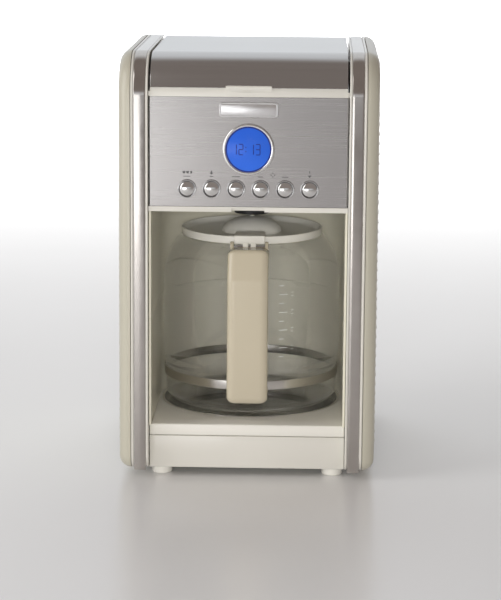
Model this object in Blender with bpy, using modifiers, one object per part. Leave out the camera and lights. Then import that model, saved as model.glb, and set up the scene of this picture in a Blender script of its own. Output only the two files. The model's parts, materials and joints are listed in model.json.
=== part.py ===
"""Drip coffee maker: casing, hinged top cover, brew basket, carafe, heater and controls.

Metres, +Z up. The front faces -Y. The origin is the middle of the footprint, on the worktop.
"""

from math import acos, asin, cos, pi, radians, sin, sqrt

import bmesh
import bpy
from mathutils import Matrix, Vector

MM = 0.001

# Overall sizes
WIDTH = 225 * MM
DEPTH = 262 * MM
HEIGHT = 372 * MM
FOOT_HEIGHT = 7 * MM

# Fits
GAP = 0.3 * MM
RUN = 0.5 * MM
WALL = 2.5 * MM
THIN_WALL = 2 * MM

# Side outline of the casing, seen along X
FRONT_TOP_RADIUS = 36 * MM
REAR_TOP_RADIUS = 57 * MM
BOTTOM_RADIUS = 13 * MM
ARC_STEPS = 8

# Side panels and the side frames between them
RIB_PROUD = 0.8 * MM
RIB_HEIGHT = 2.6 * MM
RIB_PITCH = 8.44 * MM
RIB_MARGIN = 26 * MM
PANEL_THICK = 10.4 * MM
PANEL_WALL = 2.2 * MM
PANEL_RIM = 6 * MM
FRAME_WIDTH = 15.1 * MM
FRAME_RIM = 5 * MM
BEAD_OUTER = 2.4 * MM
BEAD_INNER = 2.0 * MM
STRIP_THICK = 0.8 * MM
STRIP_SUNK = 0.2 * MM

# Base
BASE_SETBACK = 12 * MM
BASE_SPLIT = 29 * MM
BASE_TOP = 39.2 * MM
EDGE_ROUND = 1.2 * MM
FOOT_RADIUS = 9 * MM
FOOT_INSET_X = 37.5 * MM
FOOT_INSET_Y = 24 * MM
PLATE_THICK = 1.6 * MM
PLATE_RIM_WIDTH = 1.3 * MM

# Niche and carafe
CARAFE_SETBACK = 121 * MM
NICHE_FRONT = 6 * MM
NICHE_SPLIT = 0.5
CARAFE_CLEAR = 3 * MM
GLASS_WALL = 2 * MM
SHOULDER_HEIGHT = 44 * MM
SHOULDER_WIDTH = 34.5 * MM
MOUTH_INSET = 16.8 * MM
BAND_LOW = 23 * MM
BAND_HEIGHT = 8 * MM
BAND_THICK = 0.8 * MM
BAND_TAPER = 2.2 * MM
LID_CLEAR = 30.3 * MM
LID_RIM_HEIGHT = 6.7 * MM
LID_WALL = 1.8 * MM
DOME_HEIGHT = 9 * MM
HANDLE_WIDTH = 36.6 * MM
HANDLE_REACH = 39 * MM
HANDLE_THICK = 13 * MM
HANDLE_ROUND = 4.5 * MM
HANDLE_DROP = 22.5 * MM
ARM_HEIGHT = 12 * MM
EAR_THICK = 3 * MM
KNUCKLE_HALF = 6 * MM
PIN_RADIUS = 1.8 * MM

# Head, measured down from the top. The panel's pieces are placed by shares of the head's height
HEAD_TOP_DROP = 32.2 * MM
HEAD_BOTTOM_DROP = 135.7 * MM
HEAD_SETBACK = 3 * MM
HEAD_WALL_SETBACK = 18 * MM
STRIP_HEIGHT = 4.4 * MM
NOTCH_HALF = 14 * MM
NOTCH_HEIGHT = 3.4 * MM
PANEL_SHEET = 1.2 * MM
BADGE_WIDTH = 50 * MM
BADGE_HEIGHT = 12.5 * MM
BADGE_PLACE = 0.85
LCD_PLACE = 0.523
LCD_SIZE = 0.2145
LCD_RIM = 2.6 * MM
BUTTON_PLACE = 0.192
BUTTON_COUNT = 6
BUTTON_PITCH = 21 * MM
BUTTON_RADIUS = 6.6 * MM
BUTTON_TRAVEL = 1 * MM
BOARD_SETBACK = 12 * MM

# Top cover
COVER_SHEET = 1 * MM
COVER_SUNK = 1 * MM
COVER_END_ANGLE = radians(60)
HINGE_SINK = 7.2 * MM
BARREL_RADIUS = 4.6 * MM
HINGE_PIN_RADIUS = 2 * MM
TAB_WIDTH = 39.2 * MM

# Brewing parts
BASKET_RADIUS = 57 * MM
BASKET_FLANGE = 60 * MM
BASKET_HEADROOM = 19.5 * MM
BASKET_SEAT = 44.5 * MM
BOSS_RADIUS = 16 * MM
BOSS_DROP = 18 * MM
VALVE_HOLE = 5 * MM
VALVE_TRAVEL = 3 * MM
LID_PLAY = 2.8 * MM
TANK_TOP_DROP = 65 * MM
HOSE_RADIUS = 4.5 * MM
RISER_INSET_X = 15.5 * MM
RISER_BEHIND = 75 * MM
CORD_HOLE = 6 * MM

# Places that follow from the sizes above
FRONT = -DEPTH / 2
REAR = DEPTH / 2
BASE_Z = FOOT_HEIGHT
DECK_Z = BASE_Z + BASE_TOP
SPLIT_Z = BASE_Z + BASE_SPLIT
PANEL_FACE_X = WIDTH / 2 - RIB_PROUD
FRAME_OUT_X = PANEL_FACE_X - PANEL_THICK - GAP
FRAME_IN_X = FRAME_OUT_X - FRAME_WIDTH
CORE_X = FRAME_IN_X - GAP
BASE_FRONT = FRONT + BASE_SETBACK
REAR_COVER_SUNK = 2 * MM
CORE_REAR = REAR - REAR_COVER_SUNK - WALL - RUN
HEAD_TOP = HEIGHT - HEAD_TOP_DROP
HEAD_BOTTOM = HEIGHT - HEAD_BOTTOM_DROP
HEAD_HEIGHT = HEAD_TOP - HEAD_BOTTOM
BADGE_Z = HEAD_BOTTOM + BADGE_PLACE * HEAD_HEIGHT
LCD_Z = HEAD_BOTTOM + LCD_PLACE * HEAD_HEIGHT
LCD_RADIUS = LCD_SIZE * HEAD_HEIGHT
LCD_OPEN = LCD_RADIUS - LCD_RIM
BUTTON_Z = HEAD_BOTTOM + BUTTON_PLACE * HEAD_HEIGHT
CARAFE_Y = FRONT + CARAFE_SETBACK
NICHE_RADIUS = CORE_X - THIN_WALL
NICHE_REAR = CARAFE_Y + CORE_X
HEAD_REAR = NICHE_REAR + GAP + WALL
GLASS_RADIUS = NICHE_RADIUS - CARAFE_CLEAR
MOUTH_RADIUS = GLASS_RADIUS - MOUTH_INSET
PLATE_RADIUS = GLASS_RADIUS - 1.5 * MM
PLATE_TOP = DECK_Z + 0.5 * MM
GLASS_BOTTOM = PLATE_TOP + 0.8 * MM
LID_TOP = HEAD_BOTTOM - LID_CLEAR
LID_BOTTOM = LID_TOP - LID_RIM_HEIGHT
GLASS_TOP = LID_BOTTOM - RUN
SHOULDER_Z = GLASS_TOP - SHOULDER_HEIGHT * sqrt(1 - ((MOUTH_RADIUS - GLASS_RADIUS) / SHOULDER_WIDTH + 1) ** 2)
BAND_Z = GLASS_BOTTOM + BAND_LOW
BAND_RADIUS = GLASS_RADIUS - BAND_TAPER + GAP + BAND_THICK
GRIP_FRONT = CARAFE_Y - GLASS_RADIUS - HANDLE_REACH
LID_PIN_Y = CARAFE_Y - MOUTH_RADIUS - 8.5 * MM
LID_PIN_Z = LID_BOTTOM - 0.5 * MM
PANEL_Y = FRONT + HEAD_SETBACK + 0.2 * MM
BASKET_BOTTOM = HEAD_BOTTOM + WALL + GAP
BASKET_TOP = BASKET_BOTTOM + HEAD_HEIGHT - BASKET_HEADROOM
BOSS_BOTTOM = HEAD_BOTTOM - BOSS_DROP
VALVE_SEAT = BOSS_BOTTOM + WALL
REAR_ARC_Y = REAR - REAR_TOP_RADIUS
REAR_ARC_Z = HEIGHT - REAR_TOP_RADIUS
HINGE_ARM = REAR_TOP_RADIUS - HINGE_SINK
HINGE_Y = REAR_ARC_Y + HINGE_ARM * sin(COVER_END_ANGLE)
HINGE_Z = REAR_ARC_Z + HINGE_ARM * cos(COVER_END_ANGLE)
TANK_FRONT = HEAD_REAR + 3 * MM
TANK_BOTTOM = DECK_Z + 3 * MM
TANK_TOP = HEIGHT - TANK_TOP_DROP
RISER_X = -CORE_X + RISER_INSET_X
RISER_Y = CARAFE_Y + RISER_BEHIND
RISER_TOP = HEIGHT - 37 * MM
HEATER_Z = DECK_Z - PLATE_THICK - HOSE_RADIUS - 0.6 * MM
HEATER_RADIUS = 50 * MM
HEATER_END_X = 24 * MM
HEATER_END_Y = CARAFE_Y + 64 * MM
OUTLET_X = 30 * MM
OUTLET_Y = (TANK_FRONT + CORE_REAR) / 2

OBJECT_NAME = "drip_coffee_maker"
YZ_FRAME = Matrix(((0, 0, 1), (1, 0, 0), (0, 1, 0))).to_4x4()
XZ_FRAME = Matrix(((1, 0, 0), (0, 0, -1), (0, 1, 0))).to_4x4()
TO_X = Matrix.Rotation(pi / 2, 4, "Y")
TO_FRONT = Matrix.Rotation(pi / 2, 4, "X")


# ---------------------------------------------------------------- scene and materials


def clear_scene():
    for obj in list(bpy.data.objects):
        bpy.data.objects.remove(obj, do_unlink=True)


def new_collection(name):
    collection = bpy.data.collections.new(name)
    bpy.context.scene.collection.children.link(collection)
    return collection


def material(name, colour, roughness, metallic=0.0, transmission=0.0):
    made = bpy.data.materials.new(name)
    made.use_nodes = True
    shader = made.node_tree.nodes["Principled BSDF"]
    shader.inputs["Base Color"].default_value = (*colour, 1)
    shader.inputs["Roughness"].default_value = roughness
    shader.inputs["Metallic"].default_value = metallic
    shader.inputs["Transmission Weight"].default_value = transmission
    made.diffuse_color = (*colour, 1)
    return made


LOOKS = {
    "cream": ((0.72, 0.69, 0.6), 0.3, 0.0, 0.0),
    "steel": ((0.6, 0.58, 0.55), 0.3, 1.0, 0.0),
    "chrome": ((0.8, 0.8, 0.8), 0.08, 1.0, 0.0),
    "enamel": ((0.02, 0.02, 0.02), 0.15, 0.0, 0.0),
    "glass": ((0.95, 0.97, 0.96), 0.03, 0.0, 1.0),
    "screen": ((0.05, 0.13, 0.7), 0.1, 0.0, 0.0),
    "board": ((0.04, 0.2, 0.08), 0.5, 0.0, 0.0),
    "aluminium": ((0.7, 0.7, 0.72), 0.4, 1.0, 0.0),
    "silicone": ((0.8, 0.8, 0.78), 0.6, 0.0, 0.0),
    "rubber": ((0.6, 0.58, 0.52), 0.8, 0.0, 0.0),
    "black_plastic": ((0.03, 0.03, 0.03), 0.5, 0.0, 0.0),
    "tank": ((0.75, 0.77, 0.76), 0.25, 0.0, 0.5),
}


# ---------------------------------------------------------------- shape helpers


def place(name, mesh, look, matrix=Matrix()):
    """A named part with a material of its own."""
    obj = bpy.data.objects.new(name, mesh)
    obj.matrix_world = matrix
    obj.data.materials.append(material(name + "_" + look, *LOOKS[look]))
    parts.objects.link(obj)
    return obj


def tool(name, mesh, matrix=Matrix()):
    """A cutter, or a shape that is joined to a part."""
    obj = bpy.data.objects.new("tool_" + name, mesh)
    obj.matrix_world = matrix
    obj.hide_render = True
    obj.display_type = "WIRE"
    cutters.objects.link(obj)
    return obj


def shape(name, mesh, look, matrix=Matrix()):
    return tool(name, mesh, matrix) if look is None else place(name, mesh, look, matrix)


def mesh_from(name, build):
    mesh = bpy.data.meshes.new(name)
    form = bmesh.new()
    build(form)
    bmesh.ops.recalc_face_normals(form, faces=form.faces)
    form.to_mesh(mesh)
    form.free()
    return mesh


def box_mesh(name, low, high):
    low, high = Vector(low), Vector(high)

    def build(form):
        bmesh.ops.create_cube(form, size=1)
        bmesh.ops.scale(form, vec=high - low, verts=form.verts)
        bmesh.ops.translate(form, vec=(low + high) / 2, verts=form.verts)

    return mesh_from(name, build)


def box(name, low, high, look=None):
    return shape(name, box_mesh(name, low, high), look)


def rod(name, radius, start, end, look=None, steps=24):
    """A round bar between two points."""
    start, end = Vector(start), Vector(end)
    along = end - start

    def build(form):
        bmesh.ops.create_cone(
            form, cap_ends=True, segments=steps, radius1=radius, radius2=radius, depth=along.length
        )

    turn = Vector((0, 0, 1)).rotation_difference(along).to_matrix().to_4x4()
    obj = shape(name, mesh_from(name, build), look, Matrix.Translation((start + end) / 2) @ turn)
    smooth(obj)
    return obj


def smooth(obj, angle=35):
    obj.data.shade_smooth()
    obj.data.set_sharp_from_angle(angle=radians(angle))


def turned(name, profile, look, centre, steps=40, turn=Matrix(), closed=False):
    """A profile of (radius, height) points, top to bottom on its outer side, turned about Z."""
    mesh = bpy.data.meshes.new(name)
    count = len(profile)
    edges = [(i, i + 1) for i in range(count - 1)] + ([(count - 1, 0)] if closed else [])
    mesh.from_pydata([(r, 0, z) for r, z in profile], edges, [])
    obj = shape(name, mesh, look, Matrix.Translation(centre) @ turn)
    screw = obj.modifiers.new("turn", "SCREW")
    screw.steps = steps
    screw.render_steps = steps
    screw.use_merge_vertices = True
    screw.merge_threshold = 0.00001
    screw.use_smooth_shade = True
    return obj


def ring(name, outer, inner, low, high, look, centre, steps=40, turn=Matrix()):
    profile = [(outer, high), (outer, low), (inner, low), (inner, high)]
    return turned(name, profile, look, centre, steps, turn, closed=True)


def prism(name, outline, low, high, frame, look=None):
    """A closed flat outline given a thickness from low to high along its normal."""
    curve = bpy.data.curves.new(name, "CURVE")
    curve.dimensions = "2D"
    curve.fill_mode = "BOTH"
    curve.extrude = (high - low) / 2
    spline = curve.splines.new("POLY")
    spline.points.add(len(outline) - 1)
    for point, (across, up) in zip(spline.points, outline):
        point.co = (across, up, 0, 1)
    spline.use_cyclic_u = True
    return solid_of(name, curve, frame @ Matrix.Translation((0, 0, (low + high) / 2)), look)


def solid_of(name, curve, matrix, look):
    """The curve made a closed mesh, so that it can be cut and joined."""
    source = bpy.data.objects.new(name + "_curve", curve)
    source.matrix_world = matrix
    parts.objects.link(source)
    bpy.context.view_layer.update()
    mesh = bpy.data.meshes.new_from_object(source.evaluated_get(bpy.context.evaluated_depsgraph_get()))
    mesh.name = name
    mesh.materials.clear()
    form = bmesh.new()
    form.from_mesh(mesh)
    bmesh.ops.remove_doubles(form, verts=form.verts, dist=0.000001)
    bmesh.ops.recalc_face_normals(form, faces=form.faces)
    form.to_mesh(mesh)
    form.free()
    obj = shape(name, mesh, look, source.matrix_world.copy())
    bpy.data.objects.remove(source, do_unlink=True)
    return obj


def tube(name, points, radius, look, resolution=2, cyclic=False, samples=6):
    """A round tube along a smooth curve through the points."""
    curve = bpy.data.curves.new(name, "CURVE")
    curve.dimensions = "3D"
    curve.bevel_depth = radius
    curve.bevel_resolution = resolution
    curve.use_fill_caps = True
    path = smooth_path([Vector(p) for p in points], samples)
    spline = curve.splines.new("POLY")
    spline.points.add(len(path) - 1)
    for point, place_at in zip(spline.points, path):
        point.co = (*place_at, 1)
    spline.use_cyclic_u = cyclic
    obj = bpy.data.objects.new(name, curve)
    curve.materials.append(material(name + "_" + look, *LOOKS[look]))
    parts.objects.link(obj)
    return obj


def smooth_path(points, samples):
    """Points on a smooth curve through the given points, each span bending in step with its length."""
    if samples < 2:
        return points
    ends = [points[0] * 2 - points[1], *points, points[-1] * 2 - points[-2]]
    path = []
    for before, start, end, after in zip(ends, ends[1:], ends[2:], ends[3:]):
        length = (end - start).length
        leaving = (end - before).normalized() * length
        arriving = (after - start).normalized() * length
        for step in range(samples):
            t = step / samples
            rise = t * t * (3 - 2 * t)
            path.append(
                start.lerp(end, rise)
                + leaving * (t * (1 - t) ** 2)
                - arriving * (t * t * (1 - t))
            )
    return path + [points[-1]]


def cut(obj, *others):
    return combine(obj, "DIFFERENCE", others)


def join(obj, *others):
    return combine(obj, "UNION", others)


def combine(obj, operation, others):
    for other in others:
        boolean = obj.modifiers.new(operation.lower(), "BOOLEAN")
        boolean.operation = operation
        boolean.object = other
        boolean.solver = "EXACT"
    return obj


def bevel(obj, width, segments=2, angle=40):
    edge = obj.modifiers.new("edges", "BEVEL")
    edge.width = width
    edge.segments = segments
    edge.limit_method = "ANGLE"
    edge.angle_limit = radians(angle)
    return obj


def arc(centre, radius, start, end, steps=ARC_STEPS):
    """Points on an arc, angles from the first axis towards the second."""
    turns = [start + (end - start) * i / steps for i in range(steps + 1)]
    return [(centre[0] + radius * cos(a), centre[1] + radius * sin(a)) for a in turns]


def moving(name, place_at, *members):
    """An empty on a joint's axis, which the pieces that move with it hang from."""
    empty = bpy.data.objects.new(name, None)
    empty.location = place_at
    empty.empty_display_size = 0.02
    parts.objects.link(empty)
    bpy.context.view_layer.update()
    for member in members:
        member.parent = empty
        member.matrix_parent_inverse = empty.matrix_world.inverted()
    return empty


# ---------------------------------------------------------------- casing


def casing_corner(inset, which):
    """One rounded corner of the casing's side outline, moved in by inset."""
    low, high = BASE_Z + inset, HEIGHT - inset
    front, rear = FRONT + inset, REAR - inset
    sides = {
        "rear_top": (REAR_TOP_RADIUS, rear, high, 0),
        "front_top": (FRONT_TOP_RADIUS, front, high, pi / 2),
        "front_bottom": (BOTTOM_RADIUS, front, low, pi),
        "rear_bottom": (BOTTOM_RADIUS, rear, low, 3 * pi / 2),
    }
    size, y, z, start = sides[which]
    radius = size - inset
    inward_y = radius if y == front else -radius
    inward_z = radius if z == low else -radius
    return arc((y + inward_y, z + inward_z), radius, start, start + pi / 2)


def casing_outline(inset=0.0):
    names = ("rear_top", "front_top", "front_bottom", "rear_bottom")
    return [point for name in names for point in casing_corner(inset, name)]


def cover_line(inset, lowest):
    """The open line of the top cover, from its front edge over the top to the hinge."""
    front = [p for p in reversed(casing_corner(inset, "front_top")) if p[1] > lowest]
    rear = arc((REAR_ARC_Y, REAR_ARC_Z), REAR_TOP_RADIUS - inset, pi / 2, pi / 2 - COVER_END_ANGLE)
    return [(FRONT + inset, lowest), *front, *rear]


def pillow_mesh(name, sign):
    """The side panel as a solid slab: a flat face with a quarter-round edge all round."""
    steps = 4
    start = FRAME_OUT_X + GAP

    def build(form):
        rings = []
        for step in range(steps + 1):
            angle = pi / 2 * step / steps
            x = sign * (start + PANEL_THICK * sin(angle))
            outline = casing_outline(PANEL_THICK * (1 - cos(angle)))
            rings.append([form.verts.new((x, y, z)) for y, z in outline])
        for inner, outer in zip(rings, rings[1:]):
            for i in range(len(inner)):
                j = (i + 1) % len(inner)
                form.faces.new((inner[i], inner[j], outer[j], outer[i]))
        form.faces.new(rings[-1])
        form.faces.new(rings[0])

    return mesh_from(name, build)


def rib_field(sign):
    """The raised ribs of one side panel, sunk a little into its face."""
    count = int((HEIGHT - BASE_Z - RIB_MARGIN - 1.9 * RIB_MARGIN) / RIB_PITCH) + 1
    front, rear = FRONT + 1.15 * PANEL_THICK, REAR - 1.15 * PANEL_THICK
    root = PANEL_FACE_X - PANEL_WALL / 2

    def build(form):
        for i in range(count):
            z = BASE_Z + RIB_MARGIN + i * RIB_PITCH
            made = bmesh.ops.create_cube(form, size=1)["verts"]
            for vert in made:
                outer = vert.co.x > 0
                slope = 0.25 if outer else 0.5
                end = rear if vert.co.y > 0 else front
                end -= (RIB_HEIGHT if vert.co.y > 0 else -RIB_HEIGHT) * outer
                height = RIB_HEIGHT * slope * (1 if vert.co.z > 0 else -1)
                vert.co = (sign * (WIDTH / 2 if outer else root), end, z + height)

    return tool("ribs", mesh_from("ribs", build))


def side_panel(name, sign):
    panel = place(name, pillow_mesh(name, sign), "cream")
    low, high = across(sign, FRAME_OUT_X - WALL, PANEL_FACE_X - PANEL_WALL)
    cut(panel, prism("hollow", casing_outline(PANEL_RIM), low, high, YZ_FRAME))
    join(panel, rib_field(sign))
    smooth(panel)
    return panel


def across(sign, low, high):
    """Two X values in rising order, for a piece on one side."""
    return (low, high) if sign > 0 else (-high, -low)


def side_frame(name, sign):
    """The chassis side: a web with a rim round it, whose face is grooved for the steel strip."""
    frame = prism(name, casing_outline(), *across(sign, FRAME_IN_X, FRAME_OUT_X), YZ_FRAME, "cream")
    pocket_low, pocket_high = FRAME_IN_X + WALL, FRAME_OUT_X + 5 * MM
    pocket = prism("pocket", casing_outline(FRAME_RIM), *across(sign, pocket_low, pocket_high), YZ_FRAME)
    groove_low, groove_high = FRAME_IN_X + BEAD_INNER, FRAME_OUT_X - BEAD_OUTER
    depth = STRIP_SUNK + STRIP_THICK + GAP
    groove = prism("groove", casing_outline(-3 * MM), *across(sign, groove_low, groove_high), YZ_FRAME)
    reach = across(sign, groove_low - WALL, groove_high + WALL)
    core = prism("core", casing_outline(depth), *reach, YZ_FRAME)
    return cut(frame, pocket, cut(groove, core))


def trim_strip(name, sign):
    """The steel strip in the frame's groove, up the front, over the top and down the back."""
    low, high = FRAME_IN_X + BEAD_INNER + GAP, FRAME_OUT_X - BEAD_OUTER - GAP
    strip = prism(name, casing_outline(STRIP_SUNK), *across(sign, low, high), YZ_FRAME, "steel")
    inside = casing_outline(STRIP_SUNK + STRIP_THICK)
    core = prism("core", inside, *across(sign, low - WALL, high + WALL), YZ_FRAME)
    reach = DEPTH / 2 - BOTTOM_RADIUS
    below = box("below", (-WIDTH, -reach, BASE_Z - WALL), (WIDTH, reach, BASE_Z + BOTTOM_RADIUS))
    return cut(strip, core, below)


def rear_cover():
    """The back panel, bent forward over the top edge to meet the hinge of the cover."""
    outer, inner = REAR_COVER_SUNK, REAR_COVER_SUNK + WALL
    start = pi / 2 - COVER_END_ANGLE - radians(7)
    centre = (REAR_ARC_Y, REAR_ARC_Z)
    bottom = BASE_Z + outer
    outline = [(REAR - outer, bottom), *arc(centre, REAR_TOP_RADIUS - outer, 0, start)]
    outline += [*arc(centre, REAR_TOP_RADIUS - inner, start, 0), (REAR - inner, bottom)]
    cover = prism("rear_cover", outline, -CORE_X, CORE_X, YZ_FRAME, "cream")
    return cut(cover, cord_hole())


def cord_hole():
    start = (*cord_place(), REAR + WALL)
    end = (start[0], CORE_REAR - 2 * WALL, start[1])
    return rod("cord_hole", CORD_HOLE, (start[0], start[2], start[1]), end)


def cord_place():
    """X and Z of the cord's way out."""
    return -CORE_X + 25 * MM, BASE_Z + BASE_SPLIT / 2


def cord_gland():
    """The bush that the mains cord leaves through, flush with the back of the frames."""
    x, z = cord_place()
    flange = REAR_COVER_SUNK - GAP
    profile = [
        (CORD_HOLE + 2 * MM, flange),
        (CORD_HOLE + 2 * MM, GAP),
        (CORD_HOLE - GAP, GAP),
        (CORD_HOLE - GAP, -10 * MM),
        (CORD_HOLE - 2.5 * MM, -10 * MM),
        (CORD_HOLE - 2.5 * MM, flange),
    ]
    turn = Matrix.Rotation(-pi / 2, 4, "X")
    place_at = (x, REAR - REAR_COVER_SUNK, z)
    return turned("cord_gland", profile, "black_plastic", place_at, 24, turn, closed=True)


# ---------------------------------------------------------------- base


def base_shell():
    shell = box("base_shell", (-CORE_X, BASE_FRONT, BASE_Z), (CORE_X, CORE_REAR, SPLIT_Z - GAP), "cream")
    bevel(shell, EDGE_ROUND / 2)
    low = (-CORE_X + WALL, BASE_FRONT + WALL, BASE_Z - WALL)
    high = (CORE_X - WALL, CORE_REAR - WALL, SPLIT_Z + WALL)
    return cut(shell, box("base_inside", low, high), cord_hole())


def base_deck():
    """The top of the base, open below, with the hole of the warming plate and the ways for the hoses."""
    deck = box("base_deck", (-CORE_X, BASE_FRONT, SPLIT_Z), (CORE_X, CORE_REAR, DECK_Z), "cream")
    bevel(deck, EDGE_ROUND)
    low = (-CORE_X + WALL, BASE_FRONT + WALL, SPLIT_Z - WALL)
    high = (CORE_X - WALL, CORE_REAR - WALL, DECK_Z - WALL)
    plate_hole = rod(
        "plate_hole",
        PLATE_RADIUS + PLATE_RIM_WIDTH + 2 * GAP,
        (0, CARAFE_Y, SPLIT_Z),
        (0, CARAFE_Y, DECK_Z + WALL),
        steps=64,
    )
    riser_hole = riser_way("riser_hole", SPLIT_Z, DECK_Z + WALL)
    valve_hole = rod("valve_hole", 9 * MM, (OUTLET_X, OUTLET_Y, SPLIT_Z), (OUTLET_X, OUTLET_Y, DECK_Z + WALL))
    return cut(deck, box("deck_inside", low, high), plate_hole, riser_hole, valve_hole)


def bottom_cover():
    edge = WALL + GAP
    low = (-CORE_X + edge, BASE_FRONT + edge, BASE_Z + RUN)
    high = (CORE_X - edge, CORE_REAR - edge, BASE_Z + RUN + THIN_WALL)
    return box("bottom_cover", low, high, "cream")


def foot(name, side, end):
    x = side * (WIDTH / 2 - FOOT_INSET_X)
    y = end * (DEPTH / 2 - FOOT_INSET_Y)
    top = BASE_Z + RUN - GAP
    neck = FOOT_RADIUS - 2 * MM
    round_edge = 1.5 * MM
    profile = [
        (0, top),
        (neck, top),
        (neck, BASE_Z - GAP),
        (FOOT_RADIUS, BASE_Z - GAP),
        (FOOT_RADIUS, round_edge),
        (FOOT_RADIUS - round_edge, 0),
        (0, 0),
    ]
    return turned(name, profile, "rubber", (x, y, 0), 20)


def warming_plate():
    low = PLATE_TOP - PLATE_THICK
    profile = [
        (0, PLATE_TOP - RUN),
        (PLATE_RADIUS - 4 * MM, PLATE_TOP - RUN),
        (PLATE_RADIUS - 2.5 * MM, PLATE_TOP),
        (PLATE_RADIUS, PLATE_TOP),
        (PLATE_RADIUS, low),
        (0, low),
    ]
    return turned("warming_plate", profile, "enamel", (0, CARAFE_Y, 0), 56)


def plate_rim():
    inner = PLATE_RADIUS + GAP
    outer = inner + PLATE_RIM_WIDTH
    top = PLATE_TOP + 0.3 * MM
    seat = DECK_Z + GAP
    profile = [(outer + 1 * MM, top), (outer + 1 * MM, seat), (outer, seat), (outer, DECK_Z - WALL)]
    profile += [(inner, DECK_Z - WALL), (inner, top)]
    return turned("plate_rim", profile, "chrome", (0, CARAFE_Y, 0), 56, closed=True)


def heating_element():
    """A horseshoe tube under the plate, both ends pointing back."""
    half = asin(HEATER_END_X / HEATER_RADIUS)
    bend = arc((0, CARAFE_Y), HEATER_RADIUS, pi / 2 + half, 5 * pi / 2 - half, 20)
    points = [(-HEATER_END_X, HEATER_END_Y), *bend, (HEATER_END_X, HEATER_END_Y)]
    return tube("heating_element", [(x, y, HEATER_Z) for x, y in points], HOSE_RADIUS, "aluminium", samples=1)


def thermostat():
    top = PLATE_TOP - PLATE_THICK - GAP
    return rod("thermostat", 9 * MM, (0, CARAFE_Y, SPLIT_Z + 3 * MM), (0, CARAFE_Y, top), "aluminium")


# ---------------------------------------------------------------- niche


def niche_outline():
    front = FRONT + NICHE_FRONT
    outer = arc((0, CARAFE_Y), CORE_X, 0, pi, 24)
    inner = arc((0, CARAFE_Y), NICHE_RADIUS, pi, 0, 24)
    return [(CORE_X, front), *outer, (-CORE_X, front), (-NICHE_RADIUS, front), *inner, (NICHE_RADIUS, front)]


def niche_wall(name, low, high):
    return prism(name, niche_outline(), low, high, Matrix(), "cream")


def water_tank():
    half = CORE_X - 3 * MM
    low, high = (-half, TANK_FRONT, TANK_BOTTOM), (half, CORE_REAR - RUN, TANK_TOP)
    tank = box("water_tank", low, high, "tank")
    inside_low = (-half + THIN_WALL, TANK_FRONT + THIN_WALL, TANK_BOTTOM + THIN_WALL)
    inside_high = (half - THIN_WALL, CORE_REAR - RUN - THIN_WALL, TANK_TOP + WALL)
    below, above = (OUTLET_X, OUTLET_Y, TANK_BOTTOM - WALL), (OUTLET_X, OUTLET_Y, TANK_BOTTOM + 2 * WALL)
    outlet = rod("outlet", 4 * MM, below, above)
    return cut(tank, box("tank_inside", inside_low, inside_high), outlet)


# ---------------------------------------------------------------- head and controls


def head_housing():
    """The housing above the niche: an open box for the basket, and two shelves that hold the panel."""
    back = FRONT + HEAD_WALL_SETBACK
    head = box("head_housing", (-CORE_X, back, HEAD_BOTTOM), (CORE_X, HEAD_REAR, HEAD_TOP), "cream")
    low, high = HEAD_BOTTOM + WALL, HEAD_TOP + WALL
    inside = box(
        "head_inside", (-CORE_X + WALL, back + WALL, low), (CORE_X - WALL, HEAD_REAR - WALL, high)
    )
    front = FRONT + HEAD_SETBACK
    shelf_back = back + WALL / 2
    shelf_top = HEAD_BOTTOM + STRIP_HEIGHT
    low_shelf = box("low_shelf", (-CORE_X, front, HEAD_BOTTOM), (CORE_X, shelf_back, shelf_top))
    high_shelf = box("high_shelf", (-CORE_X, front, HEAD_TOP - STRIP_HEIGHT), (CORE_X, shelf_back, HEAD_TOP))
    top = HEAD_BOTTOM + 2 * WALL
    axis_low, axis_high = (0, CARAFE_Y, HEAD_BOTTOM - WALL), (0, CARAFE_Y, top)
    basket_hole = rod("basket_hole", BASKET_SEAT + 1.5 * MM, axis_low, axis_high, steps=48)
    riser_hole = riser_way("riser_way", HEAD_BOTTOM - WALL, top)
    notch_low = (-NOTCH_HALF, front - WALL, HEAD_BOTTOM - WALL)
    notch = box("notch", notch_low, (NOTCH_HALF, front + 9 * MM, HEAD_BOTTOM + NOTCH_HEIGHT))
    join(cut(head, inside), low_shelf, high_shelf, *board_posts(back))
    return cut(head, basket_hole, riser_hole, notch)


def board_posts(back):
    """Four short posts between the housing's front wall and the circuit board."""
    posts = []
    for side in (-1, 1):
        for z in (BUTTON_Z + 13 * MM, LCD_Z + LCD_RADIUS - 2 * MM):
            x = side * 58 * MM
            start = FRONT + BOARD_SETBACK + 1.6 * MM + GAP
            posts.append(rod("board_post", 3 * MM, (x, start, z), (x, back + WALL / 2, z), steps=8))
    return posts


def button_x(index):
    return (index - (BUTTON_COUNT - 1) / 2) * BUTTON_PITCH


def control_panel():
    low = (-CORE_X + 1 * MM, PANEL_Y, HEAD_BOTTOM + STRIP_HEIGHT + GAP)
    high = (CORE_X - 1 * MM, PANEL_Y + PANEL_SHEET, HEAD_TOP - STRIP_HEIGHT - GAP)
    panel = box("control_panel", low, high, "steel")
    front, back = PANEL_Y - WALL, PANEL_Y + WALL
    cut(panel, rod("lcd_hole", LCD_OPEN + 1.3 * MM, (0, front, LCD_Z), (0, back, LCD_Z), steps=40))
    for index in range(BUTTON_COUNT):
        x = button_x(index)
        cut(panel, rod("button_hole", BUTTON_RADIUS + 1.1 * MM, (x, front, BUTTON_Z), (x, back, BUTTON_Z)))
    return panel


def rounded_rectangle(width, height, radius, centre):
    x, z = width / 2 - radius, height / 2 - radius
    corners = ((x, z, 0), (-x, z, 1), (-x, -z, 2), (x, -z, 3))
    outline = []
    for across_x, up, quarter in corners:
        middle = (centre[0] + across_x, centre[1] + up)
        outline += arc(middle, radius, quarter * pi / 2, (quarter + 1) * pi / 2, 4)
    return outline


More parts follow.
